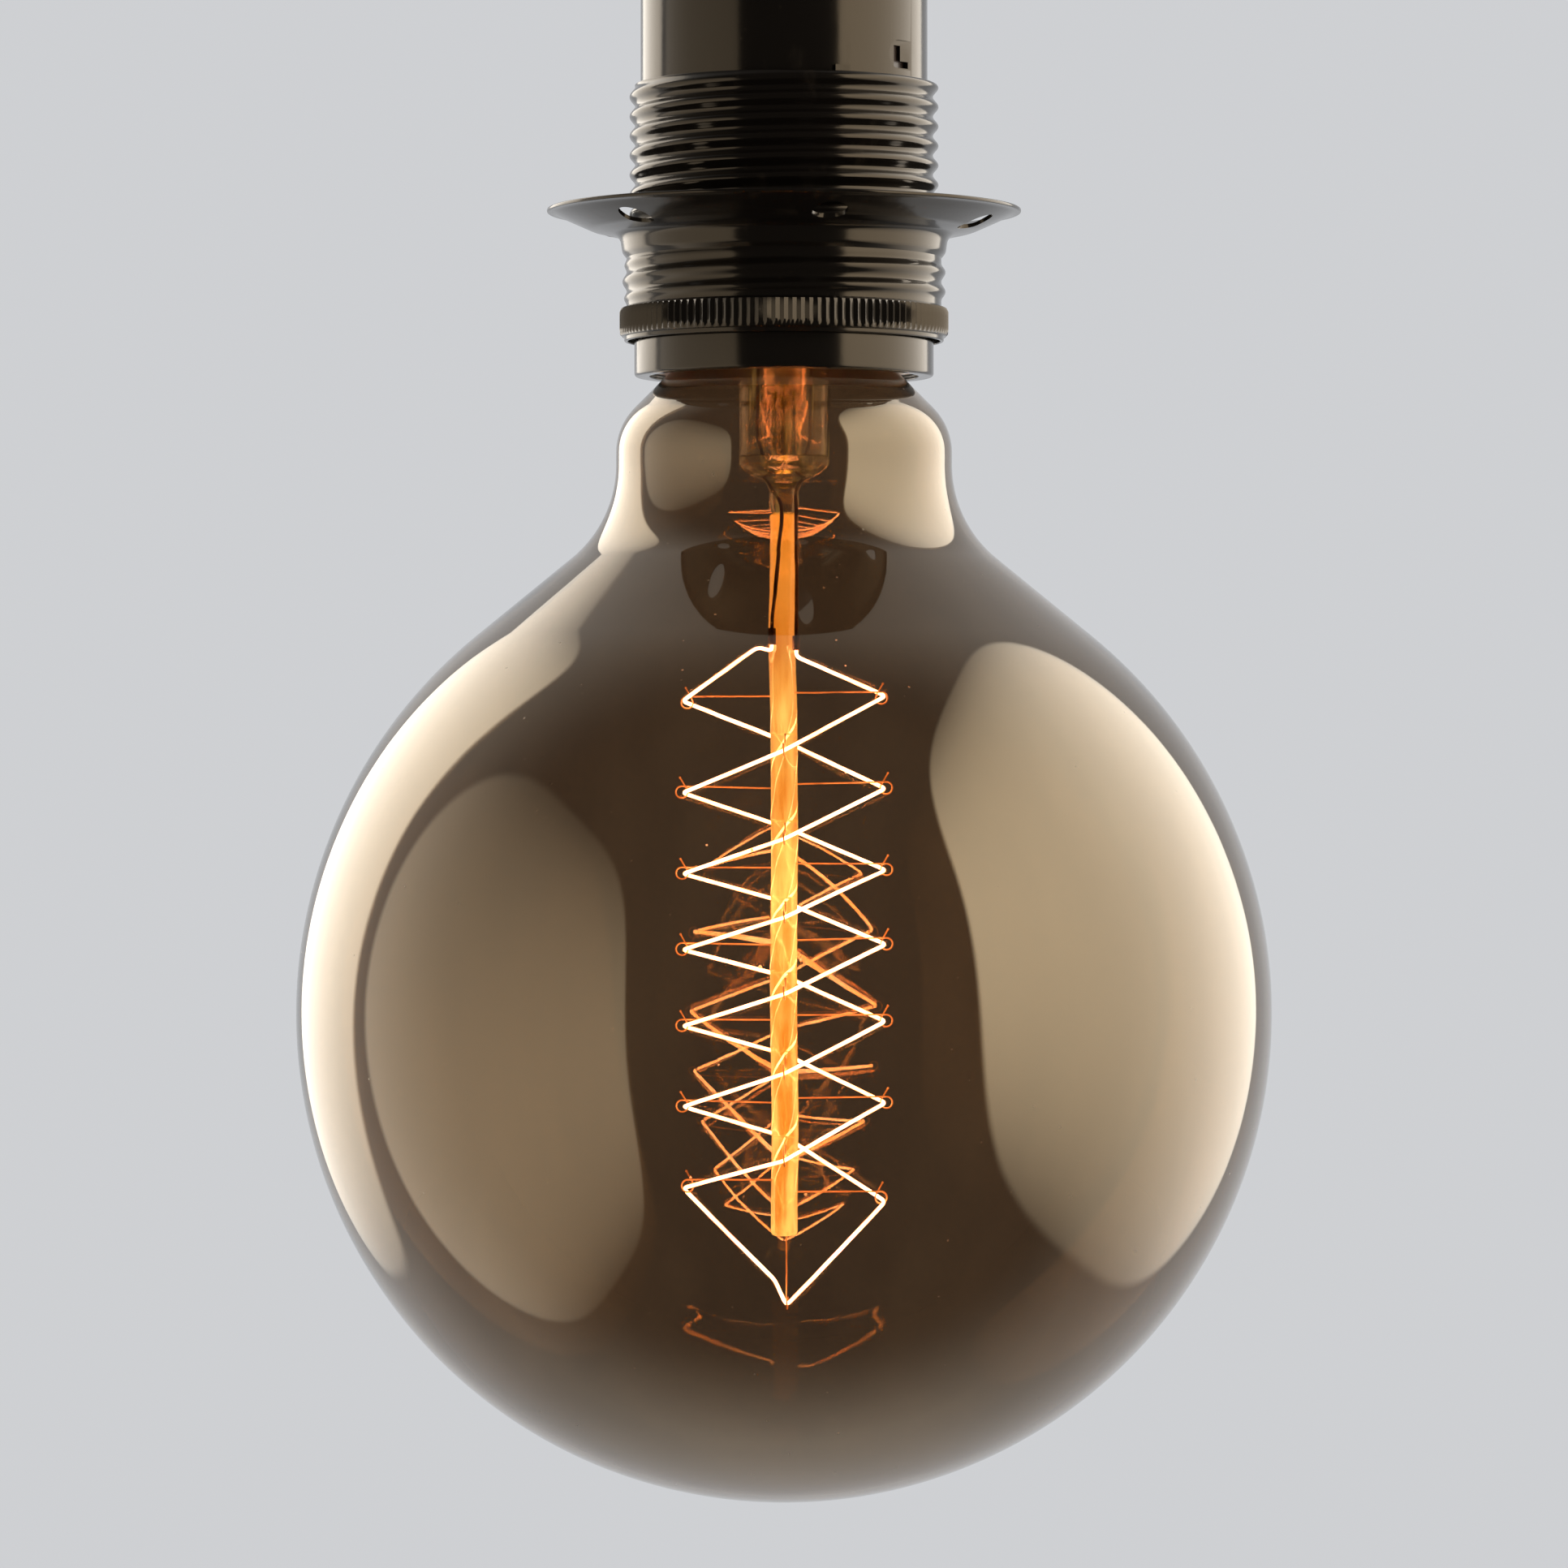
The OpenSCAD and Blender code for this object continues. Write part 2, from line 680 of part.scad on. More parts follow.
module terminal_screw() {
    translate([terminal_screw_x, -terminal_l / 4, terminal_h * 0.6]) rotate([0, 90, 0])
        slotted_screw(screw_shank_r, terminal_w / 2 - terminal_screw_x + seat_gap,
            screw_head_r, screw_head_h);
}

module terminal_screws() {
    color(steel) {
        translate([terminal_x, 0, block_top]) terminal_screw();
        translate([neutral_x, 0, block_top]) rotate([0, 0, 180]) terminal_screw();
    }
}

module tongue_foot() {
    foot_x = hinge_x + foot_gap;
    foot_top = pocket_z - seat_gap;
    color(brass) {
        translate([foot_x, -tongue_w / 2, foot_top - foot_t])
            cube([shell_flange_r - foot_gap - seat_gap - foot_x, tongue_w, foot_t]);
        translate([foot_rivet_x, 0, foot_top - foot_t / 2])
            cylinder(r = foot_rivet_r, h = block_top - foot_top + foot_t / 2);
    }
}

module centre_tongue() {
    color(brass) {
        translate([0, tongue_w / 2, 0]) rotate([90, 0, 0]) linear_extrude(tongue_w) polygon([
            [hinge_x, hinge_z - strip / 2], [tongue_flat, tongue_z], [-tongue_flat, tongue_z],
            [tongue_end_x, tongue_z + tongue_end_rise], [tongue_end_x, tongue_z + tongue_end_rise + strip],
            [-tongue_flat, tongue_z + strip], [tongue_flat, tongue_z + strip],
            [hinge_x, hinge_z + strip / 2]]);
        translate([hinge_x, tongue_w / 2, hinge_z]) rotate([90, 0, 0])
            cylinder(r = strip * 0.85, h = tongue_w);
    }
}

module screw_shell() {
    flange_z = pocket_z - seat_gap;
    widest = shell_mid_r + screw_depth / 2;
    thread_end = shell_bottom + shell_thread_h;
    color(steel) difference() {
        turned_tube(
            [[shell_bottom, shell_r, 0], [flange_z, shell_r, 0]],
            concat(
                inner_thread_rows(shell_bottom, thread_end, widest, screw_depth, screw_pitch, thread_rows),
                [[flange_z - shell_flange_t, widest, 0], [flange_z - shell_flange_t, shell_flange_r, 0],
                    [flange_z, shell_flange_r, 0]]),
            screw_pitch, thread_steps, globe_z);
        for (a = rivet_angles) rotate([0, 0, a])
            translate([rivet_ring_r, 0, flange_z - shell_flange_t - past])
                cylinder(r = rivet_r + fit_gap, h = shell_flange_t + 2 * past);
    }
}

module shell_rivets() {
    head_top = pocket_z - seat_gap - shell_flange_t - seat_gap;
    color(steel) for (a = rivet_angles) rotate([0, 0, a]) translate([rivet_ring_r, 0, 0]) {
        translate([0, 0, head_top - rivet_head_h]) cylinder(r = rivet_head_r, h = rivet_head_h);
        translate([0, 0, head_top - fit_gap]) cylinder(r = rivet_r, h = block_top - head_top);
        translate([0, 0, block_top - rivet_flare_h])
            cylinder(r1 = rivet_r, r2 = rivet_r + rivet_flare_h, h = rivet_flare_h);
    }
}

module liner() {
    color(porcelain) rotate_extrude() polygon([
        [liner_mouth_r, liner_bottom], [flange_r, liner_bottom], [flange_r, liner_top],
        [liner_bore_r, liner_top], [liner_bore_r, liner_bottom + liner_mouth_h]]);
}

module skirt() {
    thread_bottom = skirt_bottom + skirt_rim_h;
    thread_top = skirt_top - skirt_top_h;
    color(black_metal) union() {
        turned_tube(
            concat(
                [[skirt_bottom, skirt_rim_r - skirt_edge, 0], [skirt_bottom + skirt_edge, skirt_rim_r, 0]],
                outer_thread_rows(thread_bottom, thread_top, crest_r, skirt_thread_depth, shade_pitch,
                    skirt_rows),
                [[skirt_top - skirt_edge, skirt_rim_r, 0], [skirt_top, skirt_rim_r - skirt_edge, 0]]),
            [[skirt_bottom, skirt_inner_r - curl_w, 0], [skirt_bottom + sheet, skirt_inner_r - curl_w, 0],
                [skirt_bottom + sheet, skirt_inner_r, 0], [skirt_top, skirt_inner_r, 0]],
            shade_pitch, thread_steps, skirt_thread_phase);
        rotate([0, 0, tab_angle]) translate([skirt_inner_r + seat_gap, -tab_w / 2, skirt_top - skirt_edge])
            cube([tab_t, tab_w, tab_h + skirt_edge]);
    }
}

module ring_flange_section() {
    t = ring_sheet;
    r0 = ring_bore_r;
    polygon([
        [r0, dish_z + t], [band_r + 0.6, dish_z + t], [band_r + 4, dish_z + t + 0.6],
        [flange_rim_r - 2.8, flange_top - 1.1], [flange_rim_r - 1, flange_top], [flange_rim_r, flange_top],
        [flange_rim_r, flange_top - t], [flange_rim_r - 0.7, flange_top - t],
        [flange_rim_r - 2.5, flange_top - 1.1 - t], [band_r + 4, dish_z + 0.6],
        [band_r + 0.7, dish_z], [band_r + 0.1, dish_z - 0.6], [band_r, dish_z - 1.2],
        [band_r - 0.15, band_bottom - 0.15], [r0, band_bottom - 0.15]]);
}

module knurl_section() {
    difference() {
        polygon([for (i = [0:2 * knurl_teeth - 1])
            let (r = knurl_d / 2 - (i % 2) * knurl_depth, a = 180 * i / knurl_teeth)
            [r * cos(a), r * sin(a)]]);
        circle(ring_bore_r);
    }
}

module shade_ring() {
    thread_crest = band_r - seat_gap;
    thread_bore_r = ring_bore_r + 0.12;
    thread_low = ring_thread_bottom - fit_gap;
    color(black_metal) difference() {
        union() {
            rotate_extrude() ring_flange_section();
            turned_tube(
                outer_thread_rows(thread_low, band_bottom, thread_crest, ring_thread_depth, shade_pitch,
                    skirt_rows),
                [[thread_low, thread_bore_r, 0], [band_bottom, thread_bore_r, 0]],
                shade_pitch, thread_steps);
            translate([0, 0, knurl_bottom]) linear_extrude(knurl_h) knurl_section();
            ring_of(knurl_d / 2 - lip_inset, ring_bore_r, lip_bottom, knurl_bottom + fit_gap);
        }
        for (i = [0:vents - 1]) rotate([0, 0, vent_angle + 360 * i / vents])
            translate([vent_ring_r, 0, dish_z - past]) cylinder(r = vent_d / 2, h = dish_depth + 2 * past);
    }
}

module tip_contact() {
    color(steel) at_globe() rotate_extrude() polygon([
        [0, bulb_top - contact_t], [contact_r, bulb_top - contact_t],
        [contact_r, bulb_top - contact_t * 0.55],
        [contact_r * 0.7, bulb_top - contact_t * 0.15], [contact_r / 3, bulb_top], [0, bulb_top]]);
}

module cap_insulator() {
    inner = cap_top_r - cap_wall - fit_gap;
    seat = cap_cone_z + seat_gap;
    color(black_glass) at_globe() rotate_extrude() polygon([
        [insulator_bore_r, insulator_bottom], [inner, insulator_bottom], [inner, seat],
        [cap_top_r + 0.2, seat], [cap_top_r, seat + 0.65],
        [contact_r + 0.6, insulator_top], [insulator_bore_r, insulator_top]]);
}

module cap_shell() {
    color(steel) at_globe() turned_tube(
        concat(
            [[cap_rim, cap_plain_r, 0], [cap_thread_z - 0.6, cap_plain_r, 0]],
            outer_thread_rows(cap_thread_z, cap_thread_end, screw_r, screw_depth, screw_pitch, thread_rows),
            [[cap_cone_z, cap_top_r, 0]]),
        [[cap_rim, cap_plain_r - cap_wall, 0], [cap_thread_z - 1, cap_plain_r - cap_wall, 0],
            [cap_thread_z, screw_root_r - cap_wall, 0], [cap_thread_end - 0.2, screw_root_r - cap_wall, 0],
            [cap_cone_z, cap_top_r - cap_wall, 0]],
        screw_pitch, thread_steps);
}

module cap_cement() {
    inner = seat_r + seat_gap;
    outer = screw_root_r - cap_wall - fit_gap;
    wide = screw_r - cap_wall - fit_gap;
    low = seat_start + 0.4;
    high = seat_end - 1;
    color(cement_grey) at_globe() rotate_extrude() polygon([
        [inner, low], [wide, low], [wide, cap_thread_z - 1.2], [outer, cap_thread_z - fit_gap],
        [outer, high], [inner, high]]);
}

module side_solder() {
    color(steel) at_globe() translate([solder_x, 0, solder_z]) sphere(r = solder_r, $fn = 24);
}

// Half section of the glass, drawn in by an even amount from the outer surface
function glass_outline(inset) = concat(
    [for (i = [0:glass_steps])
        let (a = -90 + (90 + neck_cone_angle) * i / glass_steps)
        [(globe_r - inset) * cos(a), (globe_r - inset) * sin(a)]],
    [for (i = [0:fillet_steps])
        let (a = 180 + neck_cone_angle * (1 - i / fillet_steps))
        [fillet_x + (fillet_r + inset) * cos(a), fillet_z + (fillet_r + inset) * sin(a)]],
    [for (i = [0:shoulder_steps])
        let (a = 45 * i / shoulder_steps)
        [shoulder_x + (shoulder_r - inset) * cos(a), shoulder_z + (shoulder_r - inset) * sin(a)]],
    [[seat_r - inset, seat_start - inset * tan(22.5)], [seat_r - inset, seat_end]]);

module globe() {
    outer = glass_outline(0);
    inner = glass_outline(glass_wall);
    color(amber_glass) at_globe() rotate_extrude()
        polygon(concat(outer, [for (i = [len(inner) - 1:-1:0]) inner[i]]));
}

module flare_tube() {
    r = flare_d / 2;
    inner = r - flare_wall;
    low = press_top + seat_gap;
    rim_top = flare_rim_z + flare_rim_t;
    color(clear_glass) at_globe() rotate_extrude() polygon([
        [r, low], [r, flare_neck_z], [r + 0.7, flare_neck_z + 3.5], [flare_bell_r - 1.8, flare_rim_z - 2.6],
        [flare_bell_r, flare_rim_z], [seat_r, flare_rim_z], [seat_r, rim_top], [flare_bell_r - 0.4, rim_top],
        [flare_bell_r - 2.5, flare_rim_z - 2.2], [inner + 0.6, flare_neck_z + 4], [inner, flare_neck_z],
        [inner, low]]);
}

module exhaust_tube() {
    r = exhaust_d / 2;
    bore = r - exhaust_wall;
    low = press_top - press_socket;
    color(clear_glass) at_globe() rotate_extrude() polygon([
        [bore, low], [r, low], [r, exhaust_top - 2.5], [r / 2, exhaust_top - 0.5],
        [0, exhaust_top], [0, exhaust_top - 1.2], [bore, exhaust_top - 3]]);
}

module stem_press() {
    bore = exhaust_d / 2 + seat_gap;
    socket_z = press_top - press_socket - seat_gap;
    color(clear_glass) at_globe() rotate_extrude() polygon([
        [0, press_bottom], [press_d / 2 - 0.3, press_bottom], [press_d / 2, press_bottom + 0.4],
        [press_d / 2, press_shoulder], [flare_d / 2, press_top], [bore, press_top],
        [bore, socket_z], [0, socket_z]]);
}

module centre_rod() {
    top = press_bottom - seat_gap;
    color(clear_glass) at_globe() rotate_extrude() polygon([
        [0, rod_end], [rod_r - rod_rounding, rod_end],
        [rod_r - rod_rounding * 0.3, rod_end + rod_rounding * 0.3],
        [rod_r, rod_end + rod_rounding], [rod_r, top], [0, top]]);
}

// Route of a lead wire from the cap to its clamp, on the left (-1) or the right (1)
function lead_route(side, start) =
    let (exit_x = side < 0 ? left_exit_x : lead_x,
        exit_y = side < 0 ? -(rod_r + lead_r + lead_gap) : lead_y)
    concat(start, [
        [side * lead_spread, 0, cap_rim + 6],
        [side * lead_spread, 0, press_top + 2.7],
        [side * lead_press_x, 0, press_shoulder - 0.4],
        [exit_x, exit_y, press_bottom + lead_exit],
        [exit_x, exit_y, press_bottom - lead_exit],
        [side * lead_x, lead_y, clamp_z(side) + lead_exit],
        [side * lead_x, lead_y, clamp_z(side) - 0.4]]);

module lead_wire(side, start) {
    color(steel) at_globe()
        wire(rounded_path(lead_route(side, start), lead_turn_r, 2), lead_r, lead_sides);
}

module lead_wire_a() {
    lead_wire(-1, [
        [0, 0, insulator_top - seat_gap],
        [0, 0, insulator_bottom - 1.5],
        [-2.6, 0, insulator_bottom - 6.5]]);
}

module lead_wire_b() {
    lead_wire(1, [[solder_x - 0.2, 0, cap_thread_end - 0.4], [7, 0, cap_thread_end - 4.5]]);
}

module lead_clamps() {
    color(steel) at_globe() for (side = [-1, 1])
        translate([side * lead_x, lead_y, 0])
            ring_of(clamp_r, clamp_bore_r, clamp_z(side) - clamp_len, clamp_z(side));
}

module hook_eye() {
    rotate([90, 0, 0]) rotate_extrude($fn = 24)
        translate([eye_mid_r, 0]) circle(hook_wire_d / 2, $fn = 14);
}

module hook_rod(length) {
    cylinder(r = hook_wire_d / 2, h = length, $fn = 16);
}

// A wire arm from the rod to the top of an eye round the filament, with its free tail and melted bead
module hook(place, angle, out) {
    eye_x = place * [cos(angle), sin(angle), 0] + out;
    eye_z = place[2] + eye_rise;
    aside = place * [-sin(angle), cos(angle), 0];
    rotate([0, 0, angle]) translate([0, aside, 0]) {
        translate([rod_r - hook_root, 0, eye_z + arm_rise]) rotate([0, 90, 0])
            hook_rod(eye_x - arm_reach - rod_r + hook_root);
        translate([eye_x, 0, eye_z]) {
            hook_eye();
            translate([eye_mid_r * cos(tail_start), 0, eye_mid_r * sin(tail_start)])
                rotate([0, tail_lean, 0]) {
                    hook_rod(tail_len);
                    translate([0, 0, tail_len]) sphere(bead_r, $fn = 16);
                }
        }
    }
}

// The hooks of both strands at the bends on one side
module hooks_at(side_angle) {
    color(steel) at_globe() for (strand = [0, 1], q = [0:quarters])
        if ((bend_angle(strand, q) - side_angle) % 360 == 0)
            hook(eye_place(strand, q), side_angle, q % quarters == 0 ? end_eye_out : eye_out);
}

module hooks_left() {
    hooks_at(180);
}

module hooks_right() {
    hooks_at(0);
}

module hooks_front() {
    hooks_at(-90);
}

module hooks_back() {
    hooks_at(90);
}

module tip_hook() {
    eye_z = filament_tip + 0.3;
    arm_end = eye_z + eye_mid_r;
    color(steel) at_globe() translate([tip_x, 0, 0]) {
        translate([0, 0, arm_end]) hook_rod(rod_end + hook_root - arm_end);
        translate([0, 0, eye_z]) rotate([0, 0, 90]) hook_eye();
    }
}

module filament() {
    color(glow) at_globe() wire(filament_path, filament_d / 2, filament_sides);
}

entry_collar();
collar_screw();
cap_dome();
earth_terminal();
earth_screw();
contact_block();
line_terminal();
neutral_terminal();
terminal_screws();
tongue_foot();
centre_tongue();
screw_shell();
shell_rivets();
liner();
skirt();
shade_ring();
tip_contact();
cap_insulator();
cap_shell();
cap_cement();
side_solder();
globe();
flare_tube();
exhaust_tube();
stem_press();
centre_rod();
lead_wire_a();
lead_wire_b();
lead_clamps();
hooks_left();
hooks_right();
hooks_front();
hooks_back();
tip_hook();
filament();
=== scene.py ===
"""Looks of a globe filament bulb screwed into a black lampholder with a shade ring.

Outlines are written in millimetres in the frame's own axes, and become metres when a mesh is made.
"""

import logging
import math
from dataclasses import dataclass, field
from enum import Enum
from typing import Callable, Iterable, Sequence

import bmesh
import bpy
from mathutils import Matrix, Vector


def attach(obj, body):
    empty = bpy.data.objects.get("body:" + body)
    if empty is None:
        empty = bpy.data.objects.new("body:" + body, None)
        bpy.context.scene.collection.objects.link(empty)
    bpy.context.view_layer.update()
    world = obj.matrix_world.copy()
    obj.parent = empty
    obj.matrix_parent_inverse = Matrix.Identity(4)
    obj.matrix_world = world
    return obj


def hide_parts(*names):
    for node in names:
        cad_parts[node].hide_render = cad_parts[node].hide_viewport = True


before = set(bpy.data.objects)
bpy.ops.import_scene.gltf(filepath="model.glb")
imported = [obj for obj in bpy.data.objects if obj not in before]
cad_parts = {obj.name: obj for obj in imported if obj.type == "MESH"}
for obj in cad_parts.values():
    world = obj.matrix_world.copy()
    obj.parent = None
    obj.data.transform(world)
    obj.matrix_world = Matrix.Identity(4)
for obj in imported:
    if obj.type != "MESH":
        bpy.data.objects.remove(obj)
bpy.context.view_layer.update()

LOG = logging.getLogger("globe_bulb")
MM = 0.001  # metres in a millimetre
GLOBE_Z = -150.0  # height of the globe's middle, in millimetres
BMesh = bmesh.types.BMesh
Material = bpy.types.Material
Socket = bpy.types.NodeSocket
Colour = tuple[float, float, float]
Point = tuple[float, float]
Corner = tuple[float, float, float]


class Side(Enum):
    """Sides of the filament cage, with their angle round the axis in degrees."""

    LEFT = 180
    RIGHT = 0
    FRONT = -90
    BACK = 90


class Change(Enum):
    """What one closed mesh does to another, with the Boolean modifier's name for it."""

    TAKE_AWAY = "DIFFERENCE"
    JOIN = "UNION"


class Signal:
    """A number in a shader. Sums and products of signals add their own Math nodes."""

    def __init__(self, graph: "Graph", socket: Socket) -> None:
        """Keep a socket and the graph that it belongs to.

        Args:
            graph: The material's graph.
            socket: The output that carries the number.
        """
        self.graph = graph
        self.socket = socket

    def _math(self, operation: str, *others: object) -> "Signal":
        """Add a Math node.

        Args:
            operation: Name of the Math node's operation.
            others: Its values, in the order of its sockets.

        Returns:
            The node's result.
        """
        node = self.graph.add("ShaderNodeMath", dict(enumerate(others)), operation=operation)
        return Signal(self.graph, node.outputs[0])

    def __add__(self, other: object) -> "Signal":
        """Sum."""
        return self._math("ADD", self, other)

    def __sub__(self, other: object) -> "Signal":
        """Difference."""
        return self._math("SUBTRACT", self, other)

    def __rsub__(self, other: object) -> "Signal":
        """Difference from a number."""
        return self._math("SUBTRACT", other, self)

    def __mul__(self, other: object) -> "Signal":
        """Product."""
        return self._math("MULTIPLY", self, other)

    def __pow__(self, other: object) -> "Signal":
        """Power."""
        return self._math("POWER", self, other)

    def __abs__(self) -> "Signal":
        """Distance from 0."""
        return self._math("ABSOLUTE", self)

    def larger(self, other: object) -> "Signal":
        """The larger of two numbers."""
        return self._math("MAXIMUM", self, other)

    __radd__ = __add__
    __rmul__ = __mul__

    def smooth(self, low: float, high: float) -> "Signal":
        """Smooth step from 0 at low to 1 at high.

        Args:
            low: Value that gives 0.
            high: Value that gives 1.

        Returns:
            The stepped signal.
        """
        values = {"Value": self, "From Min": low, "From Max": high}
        node = self.graph.add("ShaderNodeMapRange", values, interpolation_type="SMOOTHSTEP")
        return Signal(self.graph, node.outputs["Result"])


class Graph:
    """The node graph of a material, a light or the world."""

    def __init__(self, owner: bpy.types.ID) -> None:
        """Empty the owner's graph.

        Args:
            owner: The material, light or world.
        """
        owner.use_nodes = True
        self.owner = owner
        self.tree = owner.node_tree
        self.tree.nodes.clear()

    @classmethod
    def of_material(cls, name: str) -> "Graph":
        """Make a new material and its empty graph."""
        return cls(bpy.data.materials.new(name))

    @property
    def place(self) -> Socket:
        """Object coordinates."""
        return self.add("ShaderNodeTexCoord").outputs["Object"]

    def height(self) -> Signal:
        """Height in the frame, in metres."""
        parts = self.add("ShaderNodeSeparateXYZ", {0: self.place})
        return Signal(self, parts.outputs["Z"])

    def add(self, kind: str, values: dict | None = None, **settings: str) -> bpy.types.Node:
        """Add a node of any kind.

        Args:
            kind: The node's type.
            values: Values or links of its sockets, by name or number.
            settings: Attributes that are set first.

        Returns:
            The new node.
        """
        node = self.tree.nodes.new(kind)
        for key, value in settings.items():
            setattr(node, key, value)
        for key, value in (values or {}).items():
            source = value.socket if isinstance(value, Signal) else value
            if isinstance(source, Socket):
                self.tree.links.new(source, node.inputs[key])
            else:
                node.inputs[key].default_value = source
        return node

    def stretched(self, scale: Sequence[float]) -> Socket:
        """Object coordinates drawn out along an axis.

        Args:
            scale: Factor along each axis.

        Returns:
            The vector.
        """
        return self.add("ShaderNodeMapping", {"Vector": self.place, "Scale": scale}).outputs[0]

    def noise(self, size_mm: float, detail: float = 3.0, vector: Socket | None = None) -> Signal:
        """Noise whose features have a given size.

        Args:
            size_mm: Size of a feature in millimetres.
            detail: Number of finer layers.
            vector: Coordinates, if they aren't the plain Object ones.

        Returns:
            Noise from 0 to 1.
        """
        values = {"Vector": vector or self.place, "Scale": 1 / (size_mm * MM), "Detail": detail}
        return Signal(self, self.add("ShaderNodeTexNoise", values).outputs[0])

    def specks(self, spacing_mm: float, size: float) -> Signal:
        """Small round specks.

        Args:
            spacing_mm: Mean distance between specks in millimetres.
            size: Radius of a speck as a share of the spacing.

        Returns:
            1 on a speck and 0 between them.
        """
        values = {"Vector": self.place, "Scale": 1 / (spacing_mm * MM)}
        cells = self.add("ShaderNodeTexVoronoi", values)
        return 1 - Signal(self, cells.outputs["Distance"]).smooth(size * 0.5, size)

    def mixed(self, factor: Signal, low: Colour | Socket, high: Colour) -> Socket:
        """Blend two colours.

        Args:
            factor: 0 gives the low colour and 1 the high one.
            low: First colour, or the socket that carries it.
            high: Second colour.

        Returns:
            The blended colour.
        """
        first = low if isinstance(low, Socket) else (*low, 1.0)
        values = {0: factor, 6: first, 7: (*high, 1.0)}
        return self.add("ShaderNodeMix", values, data_type="RGBA").outputs[2]

    def bump(self, height: Signal, depth_mm: float, strength: float = 1.0) -> Socket:
        """Turn a height into a normal.

        Args:
            height: Height from 0 to 1.
            depth_mm: Depth of a height of 1, in millimetres.
            strength: Strength of the effect.

        Returns:
            The normal.
        """
        values = {"Height": height, "Distance": depth_mm * MM, "Strength": strength}
        return self.add("ShaderNodeBump", values).outputs[0]

    def surface(self, **values: object) -> Material:
        """Finish the material with one Principled shader.

        Args:
            values: Its sockets, with underscores in place of spaces.

        Returns:
            The finished material.
        """
        sockets = {}
        for key, value in values.items():
            name = key.replace("_", " ")
            sockets[name] = (*value, 1.0) if isinstance(value, tuple) else value
        shader = self.add("ShaderNodeBsdfPrincipled", sockets)
        self.add("ShaderNodeOutputMaterial", {"Surface": shader.outputs[0]})
        return self.owner


@dataclass(frozen=True)
class BlackLacquer:
    """Glossy black lacquer over pressed sheet, with faint orange peel and rubbed spots."""

    name: str = "black_lacquer"
    colour: Colour = (0.0028, 0.0022, 0.0018)
    rubbed: Colour = (0.012, 0.009, 0.006)
    sheen: Colour = (1.0, 0.82, 0.60)
    peel_mm: float = 1.6
    smudge_mm: float = 14.0
    rub_mm: float = 3.0
    dust_mm: float = 2.2

    def make(self) -> Material:
        """Build the material."""
        g = Graph.of_material(self.name)
        smudge = g.noise(self.smudge_mm, 4.0)
        rub = g.noise(self.rub_mm, 6.0, g.stretched((1.0, 1.0, 0.35))).smooth(0.60, 0.78)
        peel = g.noise(self.peel_mm, 2.0)
        dust = g.specks(self.dust_mm, 0.10)
        return g.surface(
            Base_Color=g.mixed(rub * 0.6 + dust * 0.5, self.colour, self.rubbed),
            Roughness=0.10 + smudge * 0.10 + rub * 0.12,
            Specular_IOR_Level=0.44,
            Specular_Tint=self.sheen,
            Normal=g.bump(peel + dust * 0.3, 0.02, 0.3),
        )


@dataclass(frozen=True)
class SmokedGlass:
    """Amber glass under a thin smoky coating, with faint streaks and a little dust."""

    name: str = "smoked_glass"
    thin: Colour = (0.34, 0.245, 0.16)
    thick: Colour = (0.25, 0.175, 0.115)
    sheen: Colour = (1.0, 0.89, 0.66)
    speck: Colour = (0.42, 0.33, 0.24)
    refraction: float = 1.8
    cloud_mm: float = 38.0
    streak_mm: float = 7.0
    dust_mm: float = 5.5

    def make(self) -> Material:
        """Build the material."""
        g = Graph.of_material(self.name)
        cloud = g.noise(self.cloud_mm, 2.0, g.stretched((1.0, 1.0, 0.6)))
        streak = g.noise(self.streak_mm, 2.0, g.stretched((1.0, 1.0, 0.12)))
        dust = g.specks(self.dust_mm, 0.045)
        tint = g.mixed((cloud * 0.7 + streak * 0.3).smooth(0.3, 0.7), self.thin, self.thick)
        return g.surface(
            Base_Color=g.mixed(dust * 0.6, tint, self.speck),
            Roughness=0.01 + dust * 0.3,
            Transmission_Weight=1.0,
            IOR=self.refraction,
            Specular_Tint=self.sheen,
            Normal=g.bump(streak, 0.05, 0.12),
        )


@dataclass(frozen=True)
class ClearGlass:
    """Drawn clear glass with fine streaks along its length, and a painted glow: emission in some streaks,
    weaker above a height, stands in for the filament's light in the glass.
    """

    name: str = "clear_glass"
    colour: Colour = (0.98, 0.97, 0.93)
    warm: Colour = (0.93, 0.88, 0.72)
    # dim and glow are the colours of the painted glow: dim everywhere, glow in the lit streaks.
    dim: Colour = (0.30, 0.12, 0.02)
    glow: Colour = (1.0, 0.70, 0.20)
    streaks: Point = (0.38, 0.66)
    glow_strength: float = 0.0
    glow_top: float = -0.101
    glow_fade: float = 0.012
    glow_loss: float = 0.86
    refraction: float = 1.5
    coat_refraction: float = 1.9
    streak_mm: float = 1.2
    cord_mm: float = 6.0
    lit_mm: float = 1.3

    def make(self) -> Material:
        """Build the material."""
        g = Graph.of_material(self.name)
        streak = g.noise(self.streak_mm, 3.0, g.stretched((1.0, 1.0, 0.06)))
        cord = g.noise(self.cord_mm, 2.0, g.stretched((1.0, 1.0, 0.4)))
        # Painted glow: emission in streaks, faded out above glow_top, stands in for the filament's light in
        # the glass.
        lit = g.noise(self.lit_mm, 2.0, g.stretched((1.0, 1.0, 0.12))).smooth(*self.streaks)
        low = self.glow_top - self.glow_fade
        near = 1 - g.height().smooth(low, self.glow_top) * self.glow_loss
        return g.surface(
            Base_Color=g.mixed(cord, self.colour, self.warm),
            Roughness=0.015 + streak * 0.03,
            Transmission_Weight=1.0,
            IOR=self.refraction,
            Coat_Weight=0.9 + cord * 0.1,
            Coat_IOR=self.coat_refraction,
            Coat_Roughness=0.02,
            Emission_Color=g.mixed(lit * near, self.dim, self.glow),
            Emission_Strength=self.glow_strength,
            Normal=g.bump(streak * 0.6 + cord, 0.05, 0.25),
        )


